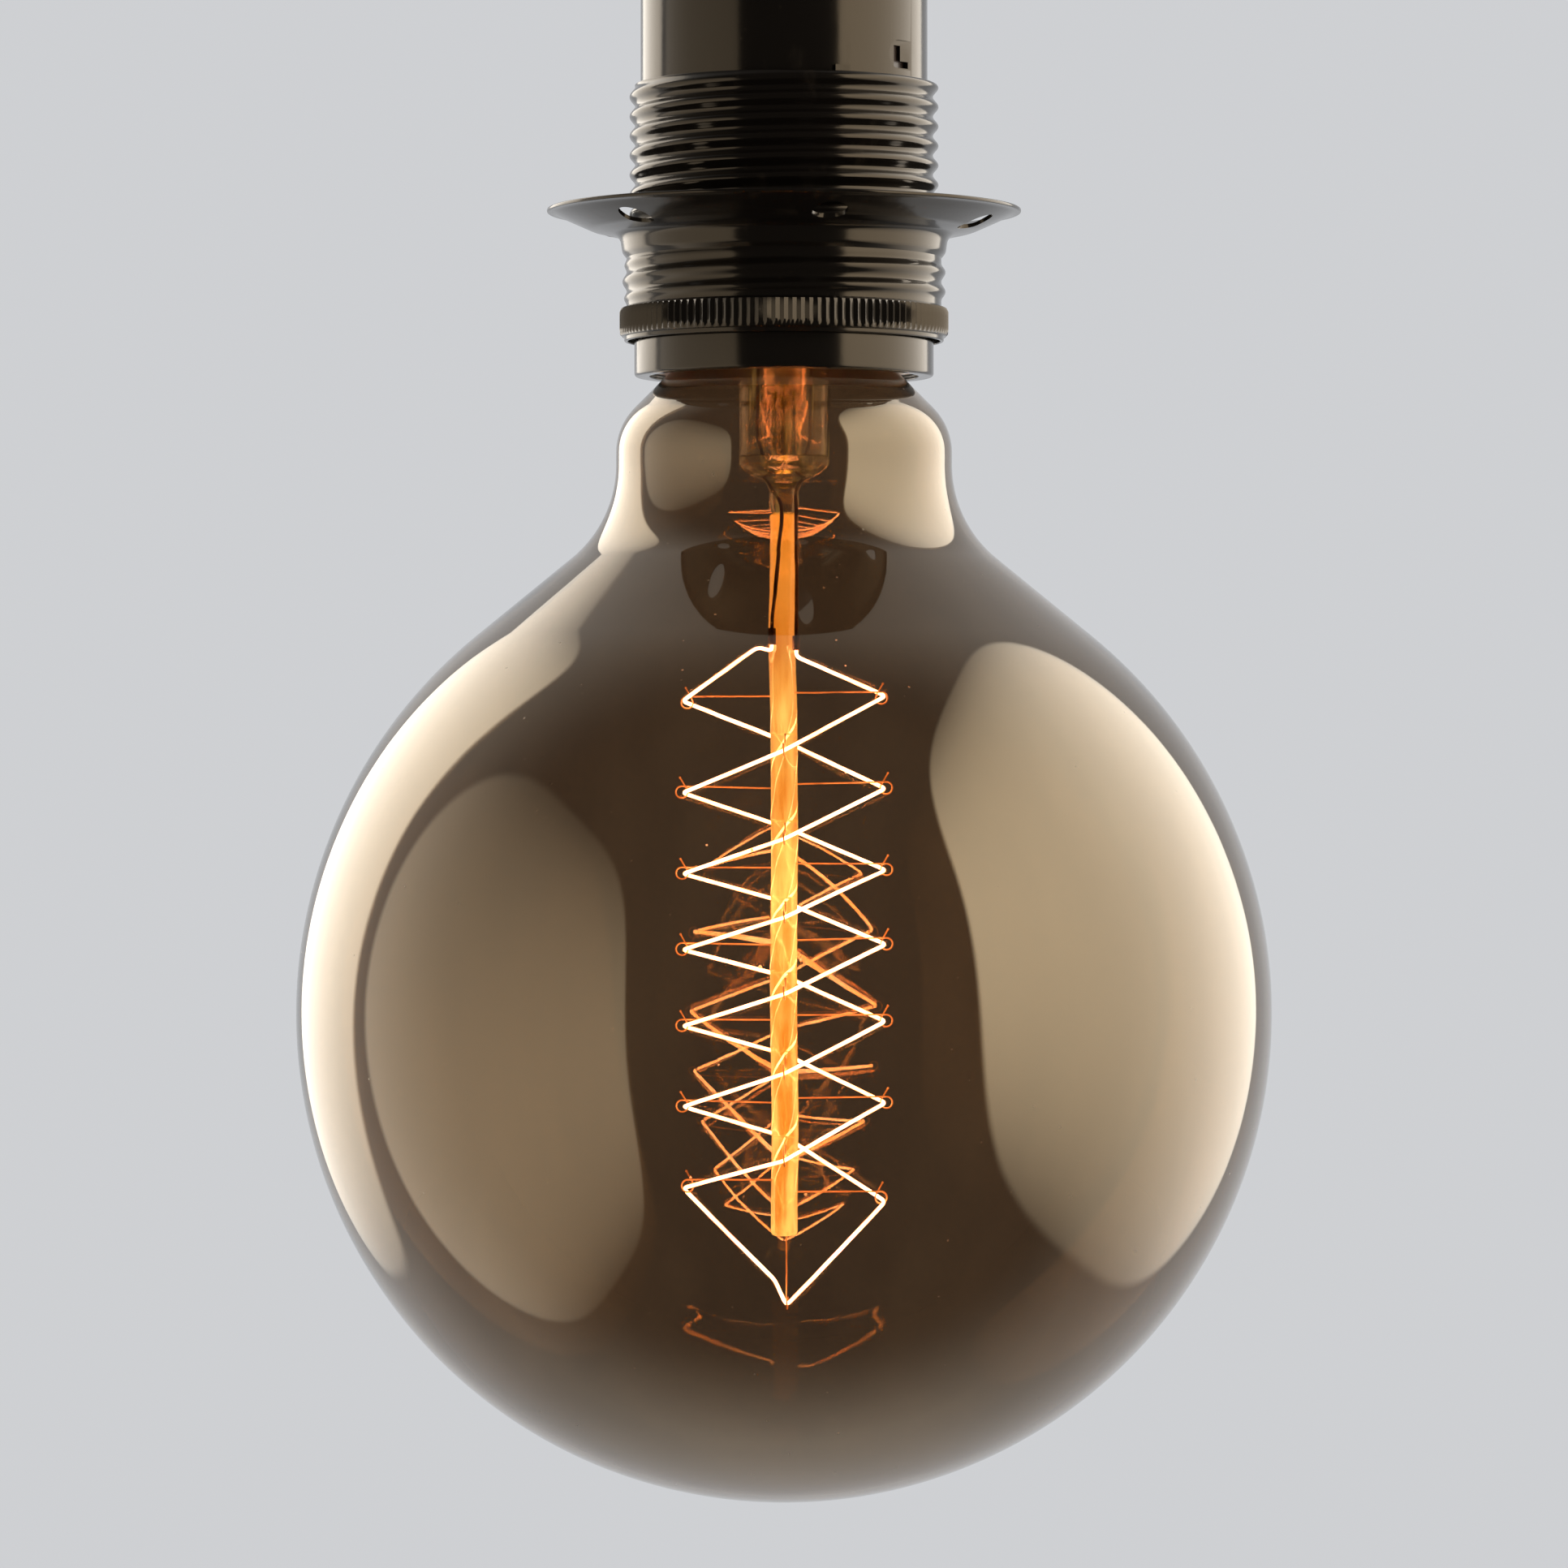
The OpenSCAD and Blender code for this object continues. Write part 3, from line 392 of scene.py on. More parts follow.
@dataclass(frozen=True)
class GlowingWire:
    """Glowing wire, a little cooler in patches."""

    name: str = "glowing_wire"
    core: Colour = (1.0, 0.50, 0.28)
    cooler: Colour = (1.0, 0.36, 0.13)
    strength: float = 85.0
    bare: Colour = (0.20, 0.12, 0.06)
    burnt: Colour = (0.12, 0.08, 0.05)
    patch_mm: float = 6.0

    def make(self) -> Material:
        """Build the material."""
        g = Graph.of_material(self.name)
        glow_tone = g.noise(self.patch_mm, 2.0)
        return g.surface(
            Base_Color=g.mixed(glow_tone, self.bare, self.burnt),
            Roughness=0.45 + glow_tone * 0.1,
            Metallic=0.6,
            Emission_Color=g.mixed(glow_tone.smooth(0.35, 0.65), self.cooler, self.core),
            Emission_Strength=self.strength,
        )


@dataclass(frozen=True)
class Metal:
    """A bare or plated metal with fine drawing marks and a tarnish, and a painted glow where its strength
    is set.
    """

    name: str
    colour: Colour
    tarnish: Colour
    rough: float = 0.28
    grain_mm: float = 0.5
    spread_mm: float = 6.0
    # Colour of a painted glow that stands in for the filament's light on the wire; off while its strength
    # is 0.
    glow_tone: Colour = (1.0, 0.26, 0.03)
    painted_glow_strength: float = 0.0

    def make(self) -> Material:
        """Build the material."""
        g = Graph.of_material(self.name)
        grain = g.noise(self.grain_mm, 4.0, g.stretched((1.0, 1.0, 4.0)))
        patch = g.noise(self.spread_mm, 5.0).smooth(0.42, 0.72)
        return g.surface(
            Base_Color=g.mixed(patch, self.colour, self.tarnish),
            Metallic=1.0,
            Roughness=self.rough + grain * 0.12 + patch * 0.14,
            # Painted glow: patchy emission, half as strong where tarnished.
            Emission_Color=g.mixed(patch, self.glow_tone, tuple(0.5 * c for c in self.glow_tone)),
            Emission_Strength=self.painted_glow_strength,
            Normal=g.bump(grain, 0.01, 0.3),
        )


@dataclass(frozen=True)
class Ceramic:
    """Fired or cast body, glazed or bare, with small pores and a slight mottle."""

    name: str
    colour: Colour
    shade: Colour
    rough: float
    glaze: float
    mottle_mm: float = 4.0
    pore_mm: float = 1.8

    def make(self) -> Material:
        """Build the material."""
        g = Graph.of_material(self.name)
        mottle = g.noise(self.mottle_mm, 4.0)
        pores = g.specks(self.pore_mm, 0.12)
        return g.surface(
            Base_Color=g.mixed(mottle.smooth(0.3, 0.8) * 0.7 + pores * 0.3, self.colour, self.shade),
            Roughness=self.rough + mottle * 0.08,
            Coat_Weight=self.glaze - pores * self.glaze * 0.5,
            Normal=g.bump(mottle - pores * 0.4, 0.03, 0.25),
        )


Finish = BlackLacquer | SmokedGlass | ClearGlass | GlowingWire | Metal | Ceramic


def made(finish: Finish) -> Material:
    """A field that holds a finish's material, which is built with the object's other finishes."""
    return field(default_factory=finish.make)


@dataclass
class Finishes:
    """Every material of the object, each made once."""

    lacquer: Material = made(BlackLacquer())
    smoked: Material = made(SmokedGlass())
    clear: Material = made(ClearGlass())
    # The flare, press and rod glass carry a painted glow that stands in for the filament's light in the
    # glass; the rod's is the strongest.
    flare: Material = made(ClearGlass(
        "flare_glass", dim=(0.001, 0.0005, 0.0001), streaks=(0.62, 0.74),
        glow_strength=0.5, glow_top=-0.062,
    ))
    press: Material = made(ClearGlass(
        "press_glass", dim=(0.03, 0.012, 0.002), streaks=(0.50, 0.66),
        glow_strength=0.9, glow_top=-0.080,
    ))
    lit: Material = made(ClearGlass("lit_glass", dim=(0.55, 0.19, 0.01), glow_strength=2.8))
    glowing: Material = made(GlowingWire())
    coil: Material = made(GlowingWire(
        "glowing_coil", core=(1.0, 0.20, 0.02), cooler=(1.0, 0.13, 0.008), strength=6.0,
    ))
    nickel: Material = made(Metal(
        "nickel_plate", (0.60, 0.57, 0.52), (0.36, 0.32, 0.27), rough=0.2,
    ))
    steel: Material = made(Metal(
        "zinc_steel", (0.52, 0.53, 0.54), (0.33, 0.32, 0.31), rough=0.32,
    ))
    brass: Material = made(Metal(
        "brass", (0.72, 0.50, 0.20), (0.42, 0.27, 0.11), rough=0.26,
    ))
    solder: Material = made(Metal(
        "solder", (0.50, 0.50, 0.50), (0.30, 0.30, 0.30), rough=0.36, grain_mm=0.8, spread_mm=2.0,
    ))
    lead: Material = made(Metal(
        "lead_wire", (0.34, 0.20, 0.13), (0.16, 0.09, 0.06), rough=0.38, grain_mm=0.3, spread_mm=3.0,
    ))
    # The hook wires carry a painted glow: patchy orange emission stands in for the filament's light on
    # them.
    hook: Material = made(Metal(
        "hook_wire", (0.36, 0.27, 0.20), (0.20, 0.12, 0.08), rough=0.34, grain_mm=0.3, spread_mm=3.0,
        painted_glow_strength=2.4,
    ))
    porcelain: Material = made(Ceramic(
        "porcelain", (0.80, 0.78, 0.73), (0.68, 0.64, 0.57), rough=0.30, glaze=0.5,
    ))
    brown_glaze: Material = made(Ceramic(
        "brown_glaze", (0.030, 0.017, 0.010), (0.016, 0.009, 0.006), rough=0.4, glaze=0.3,
    ))
    black_glass: Material = made(Ceramic(
        "black_glass", (0.012, 0.012, 0.015), (0.03, 0.03, 0.035), rough=0.12, glaze=0.6,
    ))
    cement: Material = made(Ceramic(
        "cement", (0.52, 0.48, 0.41), (0.36, 0.33, 0.28), rough=0.75, glaze=0.0,
    ))


def outline(corners: Iterable[Corner], closed: bool = True, steps: int = 5) -> list[Point]:
    """Round the corners of an outline.

    Args:
        corners: Radius, height and fillet of each corner, in millimetres.
        closed: Whether the last corner joins the first.
        steps: Segments in each fillet.

    Returns:
        The rounded outline.
    """
    corners = list(corners)
    count = len(corners)
    points: list[Point] = []
    for i, (x, z, fillet) in enumerate(corners):
        here = Vector((x, z))
        end = not closed and i in (0, count - 1)
        if fillet <= 0 or end:
            points.append((x, z))
            continue
        before = Vector(corners[i - 1][:2]) - here
        after = Vector(corners[(i + 1) % count][:2]) - here
        reach = min(fillet, before.length * 0.49, after.length * 0.49)
        start = here + before.normalized() * reach
        stop = here + after.normalized() * reach
        for s in range(steps + 1):
            u = s / steps
            p = start * (1 - u) ** 2 + here * (2 * u * (1 - u)) + stop * u**2
            points.append((p.x, p.y))
    return points


def arc_points(radius: float, start: float, stop: float, steps: int) -> list[Point]:
    """Points along an arc round the middle.

    Args:
        radius: Radius of the arc.
        start: First angle, in radians.
        stop: Last angle.
        steps: Number of segments.

    Returns:
        The points.
    """
    angles = [start + (stop - start) * i / steps for i in range(steps + 1)]
    return [(radius * math.cos(a), radius * math.sin(a)) for a in angles]


def arc(x: float, z: float, radius: float, start: float, stop: float, steps: int) -> list[Point]:
    """Points along an arc that never cross the axis.

    Args:
        x: Radius of its centre from the axis.
        z: Height of its centre.
        radius: Radius of the arc.
        start: First angle, in radians.
        stop: Last angle.
        steps: Number of segments.

    Returns:
        The points.
    """
    return [(max(0.0, x + px), z + pz) for px, pz in arc_points(radius, start, stop, steps)]


def upright(radius: float, low: float, high: float, rows: int) -> list[Corner]:
    """Corners up a straight wall, close enough for a thread or knurl.

    Args:
        radius: Radius of the wall.
        low: Height of its first row.
        high: Height of its last row.
        rows: Number of spaces between rows.

    Returns:
        The corners, without fillets.
    """
    return [(radius, low + (high - low) * i / rows, 0.0) for i in range(rows + 1)]


def placed(corners: Iterable[Corner], centre_z: float) -> list[Corner]:
    """Move corners from the middle of the globe to the frame's origin."""
    return [(x, z + centre_z, fillet) for x, z, fillet in corners]


def lathe(profile: Sequence[Point], steps: int, closed: bool = True) -> BMesh:
    """Spin an outline round the vertical axis.

    Args:
        profile: Radius and height of each point, in millimetres.
        steps: Number of steps round the axis.
        closed: Whether the outline is a loop. An open one starts and ends on the axis.

    Returns:
        A closed mesh with outward faces.
    """
    bm = bmesh.new()
    verts = [bm.verts.new((x * MM, 0.0, z * MM)) for x, z in profile]
    edges = [bm.edges.new(pair) for pair in zip(verts, verts[1:])]
    if closed:
        edges.append(bm.edges.new((verts[-1], verts[0])))
    bmesh.ops.spin(
        bm, geom=verts + edges, cent=(0, 0, 0), axis=(0, 0, 1), dvec=(0, 0, 0),
        angle=math.tau, steps=steps, use_merge=True,
    )
    bmesh.ops.remove_doubles(bm, verts=bm.verts, dist=1e-7)
    bmesh.ops.recalc_face_normals(bm, faces=bm.faces)
    return bm


def stand(name: str, bm: BMesh) -> bpy.types.Object:
    """Make an object of a mesh, which is freed, and put it in the scene."""
    mesh = bpy.data.meshes.new(name)
    bm.to_mesh(mesh)
    bm.free()
    obj = bpy.data.objects.new(name, mesh)
    bpy.context.scene.collection.objects.link(obj)
    return obj


def shift_radius(bm: BMesh, change: Callable[[float, float, float], float]) -> None:
    """Move every vertex of a turned mesh in or out.

    Args:
        bm: The mesh.
        change: Gives the change of radius in millimetres from radius, height and angle.
    """
    for v in bm.verts:
        radius = math.hypot(v.co.x, v.co.y)
        if radius < 1e-6:
            continue
        angle = math.atan2(v.co.y, v.co.x)
        factor = 1 + change(radius / MM, v.co.z / MM, angle) * MM / radius
        v.co.x *= factor
        v.co.y *= factor


def fade(z: float, low: float, high: float, length: float) -> float:
    """Ease a feature in and out at both its ends.

    Args:
        z: Height.
        low: Where the feature starts.
        high: Where it ends.
        length: Length of the easing.

    Returns:
        A factor from 0 to 1.
    """
    u = max(0.0, min(1.0, min(z - low, high - z) / length))
    return u * u * (3 - 2 * u)


@dataclass(frozen=True)
class Thread:
    """A rolled right-handed thread."""

    low: float
    high: float
    pitch: float
    depth: float
    phase: float = 0.0

    def rows(self, length: float, per_pitch: int) -> int:
        """Number of rows that a length of the thread needs."""
        return round(length / self.pitch * per_pitch)

    def rise(self, z: float, angle: float) -> float:
        """Height of the thread over its root, which fades out at both ends."""
        wave = 0.5 + 0.5 * math.cos(math.tau * (z - self.phase) / self.pitch - angle)
        return self.depth * wave * fade(z, self.low, self.high, self.pitch * 0.6)


@dataclass
class Workshop:
    """Turns meshes into finished pieces and dresses the carried-over nodes."""

    smooth_limit: float = math.radians(32)

    def piece(
        self, name: str, bm: BMesh, material: Material,
        body: str, slot: str, replaces: Sequence[str] = (),
    ) -> bpy.types.Object:
        """Make a piece and let it ride on its body.

        Args:
            name: Name of the piece.
            bm: Its mesh, which is freed.
            material: Its material.
            body: The body that it rides on.
            slot: The record's material slot; not used.
            replaces: Nodes that it stands for.

        Returns:
            The finished object.
        """
        obj = stand(name, bm)
        obj.data.materials.append(material)
        self.shade(obj.data)
        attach(obj, body)
        if replaces:
            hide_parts(*replaces)
        LOG.info("%s: %d faces on %s", obj.name, len(obj.data.polygons), body)
        return obj

    def shade(self, mesh: bpy.types.Mesh) -> None:
        """Smooth the faces and keep sharp edges sharp."""
        bm = bmesh.new()
        bm.from_mesh(mesh)
        for face in bm.faces:
            face.smooth = True
        for edge in bm.edges:
            edge.smooth = len(edge.link_faces) == 2 and edge.calc_face_angle(0) < self.smooth_limit
        bm.to_mesh(mesh)
        bm.free()

    def cut(self, bm: BMesh, cutter: BMesh, change: Change = Change.TAKE_AWAY) -> BMesh:
        """Take one closed mesh away from another, or join them.

        Args:
            bm: The mesh that is cut, which is freed.
            cutter: What is taken away or joined on, which is freed.
            change: Which of the two is done.

        Returns:
            The new mesh.
        """
        target, tool = stand("cut_target", bm), stand("cut_tool", cutter)
        modifier = target.modifiers.new("cut", "BOOLEAN")
        modifier.object = tool
        modifier.operation = change.value
        modifier.solver = "EXACT"
        shaped = target.evaluated_get(bpy.context.evaluated_depsgraph_get()).to_mesh()
        result = bmesh.new()
        result.from_mesh(shaped)
        for obj in (target, tool):
            bpy.data.objects.remove(obj)
        if not result.faces:
            raise ValueError("the cut left nothing")
        return result

    def wire(
        self, paths: Sequence[Sequence[Vector]], radius: float, sides: int, bead: float = 0.0,
    ) -> BMesh:
        """Sweep a round wire along each of several paths.

        Args:
            paths: Points of each path, in millimetres.
            radius: Radius of the wire, in millimetres.
            sides: Sides of its section, an even number.
            bead: Radius of a melted bead at each path's last point, or 0 for none.

        Returns:
            The swept mesh, with closed ends.
        """
        curve = bpy.data.curves.new("wire", "CURVE")
        curve.dimensions = "3D"
        curve.bevel_depth = radius * MM
        curve.bevel_resolution = sides // 2 - 2
        curve.use_fill_caps = True
        for path in paths:
            spline = curve.splines.new("POLY")
            spline.points.add(len(path) - 1)
            for point, place in zip(spline.points, path):
                point.co = (*(Vector(place) * MM), 1.0)
        obj = bpy.data.objects.new("wire", curve)
        bpy.context.scene.collection.objects.link(obj)
        shaped = obj.evaluated_get(bpy.context.evaluated_depsgraph_get()).to_mesh()
        bm = bmesh.new()
        bm.from_mesh(shaped)
        bpy.data.objects.remove(obj)
        bmesh.ops.remove_doubles(bm, verts=bm.verts, dist=1e-7)
        bmesh.ops.recalc_face_normals(bm, faces=bm.faces)
        if bead > 0:
            for path in paths:
                place = Matrix.Translation(Vector(path[-1]) * MM)
                bmesh.ops.create_icosphere(bm, subdivisions=2, radius=bead * MM, matrix=place)
        return bm

    @staticmethod
    def dress(material: Material, *nodes: str) -> None:
        """Give carried-over nodes a material."""
        for name in nodes:
            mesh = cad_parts[name].data
            mesh.materials.clear()
            mesh.materials.append(material)
            LOG.info("%s keeps its shape", name)


@dataclass
class Lampholder:
    """The black metal holder and its shade ring."""

    shop: Workshop
    finishes: Finishes
    cap_r: float = 18.4
    sheet: float = 0.6
    dome_top: float = -7.0
    dome_fillet: float = 8.0
    cap_bottom: float = -36.0
    collar_hole_r: float = 6.05
    latch_w: float = 2.8
    latch_bar: float = 1.25
    latch_foot: float = 0.85
    latch_margin: float = 0.2
    latch_shift: float = 0.3
    latch_angle: float = -36.0
    latch_z: float = -30.1
    slit_depth: float = 1.5
    cutter_reach: float = 3.0
    recess_w: float = 4.9
    recess_h: float = 3.7
    recess_middle: float = 0.35
    recess_tilt: float = 0.08
    skirt_top: float = -31.0
    skirt_bottom: float = -68.4
    skirt_root_r: float = 19.1
    skirt_rim_r: float = 19.2
    skirt_inner_r: float = 18.55
    skirt_thread: Thread = Thread(-63.5, -29.9, 2.5, 0.72, 1.2)
    skirt_edge: float = 0.3
    skirt_curl: float = 1.3
    skirt_steps: int = 192
    rows_per_pitch: int = 14
    tab_angle: float = -67.0
    tab_size: Corner = (0.35, 2.0, 1.1)
    tab_rise: float = 0.8
    tab_inset: float = 0.05
    ring_bore_r: float = 20.05
    flange_r: float = 30.4
    flange_top: float = -46.9
    dish: float = 3.3
    ring_sheet: float = 0.5
    band_r: float = 20.75
    band_bottom: float = -53.4
    ring_thread: Thread = Thread(-59.4, -53.2, 2.5, 0.54)
    ring_root_r: float = 20.19
    knurl_low: float = -63.3
    knurl_high: float = -59.4
    knurl_r: float = 21.1
    knurl_depth: float = 0.3
    teeth: int = 124
    steps_per_tooth: int = 4
    lip_bottom: float = -63.9
    lip_step: float = 0.6
    vents: int = 6
    vent_r: float = 2.25
    vent_ring_r: float = 25.4
    vent_angle: float = -77.0
    vent_drop: float = 2.0
    vent_reach: float = 6.0

    def build(self) -> None:
        """Make every piece of the holder."""
        finishes = self.finishes
        for name, shape, body, node in (
            ("cap_cover", self._cap, "holder", "cap_dome"),
            ("skirt_sleeve", self._skirt, "holder", "skirt"),
            ("shade_ring_pressing", self._ring, "shade_ring", "shade_ring"),
        ):
            self.shop.piece(name, shape(), finishes.lacquer, body, "black_gloss", [node])
        self.shop.dress(finishes.lacquer, "entry_collar")
        self.shop.dress(finishes.steel, "collar_screw", "terminal_screws", "shell_rivets")
        self.shop.dress(
            finishes.brass, "earth_terminal", "earth_screw", "line_terminal", "neutral_terminal",
            "tongue_foot", "centre_tongue",
        )
        self.shop.dress(finishes.brown_glaze, "contact_block")
        self.shop.dress(finishes.porcelain, "liner")

    def _cap(self) -> BMesh:
        """The smooth cap with its domed shoulder and latch cut."""
        inner = self.cap_r - self.sheet
        profile = outline([
            (self.collar_hole_r, self.dome_top, 0.1),
            (self.cap_r, self.dome_top, self.dome_fillet * 1.25),
            (self.cap_r, self.cap_bottom, 0.15),
            (inner, self.cap_bottom, 0.15),
            (inner, self.dome_top - self.sheet, (self.dome_fillet - self.sheet) * 1.25),
            (self.collar_hole_r, self.dome_top - self.sheet, 0.1),
        ], steps=12)
        bm = self.shop.cut(lathe(profile, self.skirt_steps), self._recess_cutter())
        return self.shop.cut(bm, self._slit_cutter())

    def _recess_cutter(self) -> BMesh:
        """A shallow cutter for the latch's stamped recess, round on its left side."""
        r, middle = self.recess_h / 2, (self.recess_h - self.recess_w) / 2
        shape = [(self.recess_w / 2, -r), (self.recess_w / 2, r)]
        shape += [(middle + y, z) for y, z in arc_points(r, math.pi / 2, 3 * math.pi / 2, 24)]
        raised = [(y, z + r) for y, z in shape]
        return self._outward(raised, self.cap_r - self.recess_middle, self.recess_tilt)

    def _slit_cutter(self) -> BMesh:
        """An L-shaped cutter through the cap's wall."""
        w, bar, foot = self.latch_w, self.latch_bar, self.latch_foot
        shape = [(0, 0), (w, 0), (w, foot), (bar, foot), (bar, w), (0, w)]
        left = self.latch_shift - w / 2
        raised = [(y + left, z + self.latch_margin) for y, z in shape]
        return self._outward(raised, self.cap_r - self.slit_depth)

    def _outward(self, shape: Sequence[Point], start: float, tilt: float = 0.0) -> BMesh:
        """Pull an outline outward at the latch's place.

        Args:
            shape: Corners to the right and up from the latch's lower edge.
            start: Distance from the axis at which the prism starts.
            tilt: Rise of its inner end to the right.

        Returns:
            The closed prism.
        """
        prism = bmesh.new()
        places = [Vector((start + tilt * y, y, z + self.latch_z)) * MM for y, z in shape]
        corners = [prism.verts.new(place) for place in places]
        pulled = bmesh.ops.extrude_face_region(prism, geom=[prism.faces.new(corners)])["geom"]
        moved = [v for v in pulled if isinstance(v, bmesh.types.BMVert)]
        bmesh.ops.translate(prism, verts=moved, vec=(self.cutter_reach * MM, 0, 0))
        bmesh.ops.recalc_face_normals(prism, faces=prism.faces)
        turn = Matrix.Rotation(math.radians(self.latch_angle), 3, "Z")
        bmesh.ops.rotate(prism, verts=prism.verts, cent=(0, 0, 0), matrix=turn)
        return prism

    def _skirt(self) -> BMesh:
        """The threaded skirt with its smooth rim."""
        thread, root = self.skirt_thread, self.skirt_root_r
        curl = self.skirt_inner_r - self.skirt_curl
        low, top = self.skirt_bottom, self.skirt_top
        edge = top - self.skirt_edge
        rows = thread.rows(edge - thread.low, self.rows_per_pitch)
        corners = [
            (curl, low, 0.15),
            (self.skirt_rim_r, low, 0.5),
            (self.skirt_rim_r, thread.low - 0.3, 0.2),
            *upright(root, thread.low, edge, rows),
            (root, top, 0.12),
            (self.skirt_inner_r, top, 0.1),
            (self.skirt_inner_r, low + self.sheet, 0.1),
            (curl, low + self.sheet, 0.1),
        ]
        bm = lathe(outline(corners), self.skirt_steps)
        shift_radius(bm, lambda r, z, a: thread.rise(z, a) if r > root - 0.1 else 0.0)
        return self.shop.cut(bm, self._tab(), Change.JOIN)

    def _tab(self) -> BMesh:
        """The small tab that stands up from the skirt's top edge."""
        bm = bmesh.new()
        bmesh.ops.create_cube(bm, size=MM)
        bmesh.ops.scale(bm, verts=bm.verts, vec=self.tab_size)
        thick, _, tall = self.tab_size
        x = self.skirt_inner_r + self.tab_inset + thick / 2
        z = self.skirt_top + self.tab_rise - tall / 2
        bmesh.ops.translate(bm, verts=bm.verts, vec=Vector((x, 0, z)) * MM)
        turn = Matrix.Rotation(math.radians(self.tab_angle), 3, "Z")
        bmesh.ops.rotate(bm, verts=bm.verts, cent=(0, 0, 0), matrix=turn)
        return bm

    def _ring(self) -> BMesh:
        """The shade ring: dished flange, band, rolled thread, knurl and lip in one pressing."""
        t, bore, top = self.ring_sheet, self.ring_bore_r, self.flange_top
        floor, edge = top - self.dish, self.flange_r
        band, thread, root = self.band_r, self.ring_thread, self.ring_root_r
        low, high = self.knurl_low, self.knurl_high
        knurl_root = self.knurl_r - self.knurl_depth
        lip = self.knurl_r - self.lip_step
        rows = thread.rows(thread.high - thread.low, self.rows_per_pitch)
        corners = [
            (bore, self.lip_bottom, 0.1),
            (lip, self.lip_bottom, 0.25),
            (lip, low - 0.05, 0.05),
            (knurl_root, low, 0.15),
            *upright(knurl_root, low + 0.35, high - 0.75, 4),
            (knurl_root - 0.1, high - 0.3, 0.0),
            (root, high, 0.1),
            *upright(root, thread.low, thread.high, rows),
            (band, self.band_bottom + 0.9, 0.3),
            (band + 0.25, floor - 0.6, 0.8),
            (band + 0.9, floor, 0.6),
            (band + 4.0, floor + 0.65, 0.5),
            (edge - 2.6, top - 0.8 - t, 0.6),
            (edge - 0.9, top - t, 0.5),
            (edge, top - t * 0.95, 0.22),
            (edge, top, 0.22),
            (edge - 1.1, top, 0.5),
            (edge - 2.8, top - 0.8, 0.6),
            (band + 4.0, floor + 0.65 + t, 0.5),
            (band + 0.6, floor + t, 0.8),
            (bore, floor + t * 0.6, 0.3),
        ]
        bm = lathe(outline(corners, steps=4), self.teeth * self.steps_per_tooth)

        def change(r: float, z: float, a: float) -> float:
            """Raise the thread and the teeth on the outer side."""
            if r < root - 0.05 or r > self.knurl_r:
                return 0.0
            tooth = 0.5 + 0.5 * math.cos(self.teeth * a)
            return thread.rise(z, a) + self.knurl_depth * tooth * fade(z, low, high, 0.5)

        shift_radius(bm, change)
        return self.shop.cut(bm, self._vent_cutter())

    def _vent_cutter(self) -> BMesh:
        """Round cutters for the vent holes."""
        cutter = bmesh.new()
        radius = self.vent_r * MM
        for i in range(self.vents):
            angle = math.radians(self.vent_angle) + math.tau * i / self.vents
            out = Vector((math.cos(angle), math.sin(angle), 0)) * self.vent_ring_r
            place = out + Vector((0, 0, self.flange_top - self.vent_drop))
            bmesh.ops.create_cone(
                cutter, cap_ends=True, segments=40, radius1=radius, radius2=radius,
                depth=self.vent_reach * MM, matrix=Matrix.Translation(place * MM),
            )
        return cutter


@dataclass
class GlobeGlass:
    """The blown globe with its neck."""

    shop: Workshop
    finishes: Finishes
    centre_z: float = GLOBE_Z
    radius: float = 62.43
    wall: float = 0.9
    neck_r: float = 21.55
    neck_fillet: float = 15.5
    neck_straight: float = 1.5
    shoulder_r: float = 8.2
    seat_r: float = 11.2
    seat_start: float = 85.6
    seat_end: float = 94.0
    outer_ripple: float = 0.03
    inner_ripple: float = 0.08
    still_neck: float = 20.0
    still_reach: float = 30.0
    steps: int = 192

    def build(self) -> None:
        """Make the globe."""
        outer = self._side(0.0)
        inner = self._side(self.wall)
        profile = [(x, z + self.centre_z) for x, z in outer + inner[::-1]]
        bm = lathe(profile, self.steps, closed=False)
        shift_radius(bm, self._ripple)
        self.shop.piece("globe_glass", bm, self.finishes.smoked, "bulb", "amber_glass", ["globe"])

    def _side(self, inset: float) -> list[Point]:
        """Half section of the glass from the bottom of the globe to the end of the neck.

        Args:
            inset: Distance inside the outer surface.

        Returns:
            The points, with heights from the middle of the globe.
        """
        reach = self.shoulder_r * math.sqrt(0.5)
        shoulder_x = self.neck_r - self.shoulder_r
        shoulder_z = self.seat_start - (shoulder_x + reach - self.seat_r) - reach
        fillet_z = shoulder_z - self.neck_straight
        square = self.neck_r**2 + fillet_z**2 - self.radius**2
        fillet = min(self.neck_fillet, square / (2 * (self.radius - self.neck_r)))
        fillet_x = self.neck_r + fillet
        apart = math.hypot(fillet_x, fillet_z)
        cone = math.atan2(fillet_z, fillet_x) - math.acos(min(1.0, (self.radius + fillet) / apart))
        points = arc(0.0, 0.0, self.radius - inset, -math.pi / 2, cone, 96)
        points += arc(fillet_x, fillet_z, fillet + inset, math.pi + cone, math.pi, 28)
        points += arc(shoulder_x, shoulder_z, self.shoulder_r - inset, 0.0, math.pi / 4, 12)
        bend = self.seat_start - inset * math.tan(math.pi / 8)
        points += [(self.seat_r - inset + 0.5, bend - 0.5), (self.seat_r - inset, bend + 0.3)]
        points += [(self.seat_r - inset, self.seat_end)]
        return points

    def _ripple(self, r: float, z: float, a: float) -> float:
        """Unevenness of blown glass, stronger on the inner surface."""
        h = z - self.centre_z
        outside = math.hypot(r, h) > self.radius - self.wall / 2
        depth = self.outer_ripple if outside else self.inner_ripple
        twisted = math.sin(3 * a + h / 11) * math.cos(h / 8 - a)
        rings = math.sin(h / 13 + 1.0)
        still = fade(h, -self.radius, self.seat_start - self.still_neck, self.still_reach)
        return depth * (twisted * 0.6 + rings * 0.4) * still


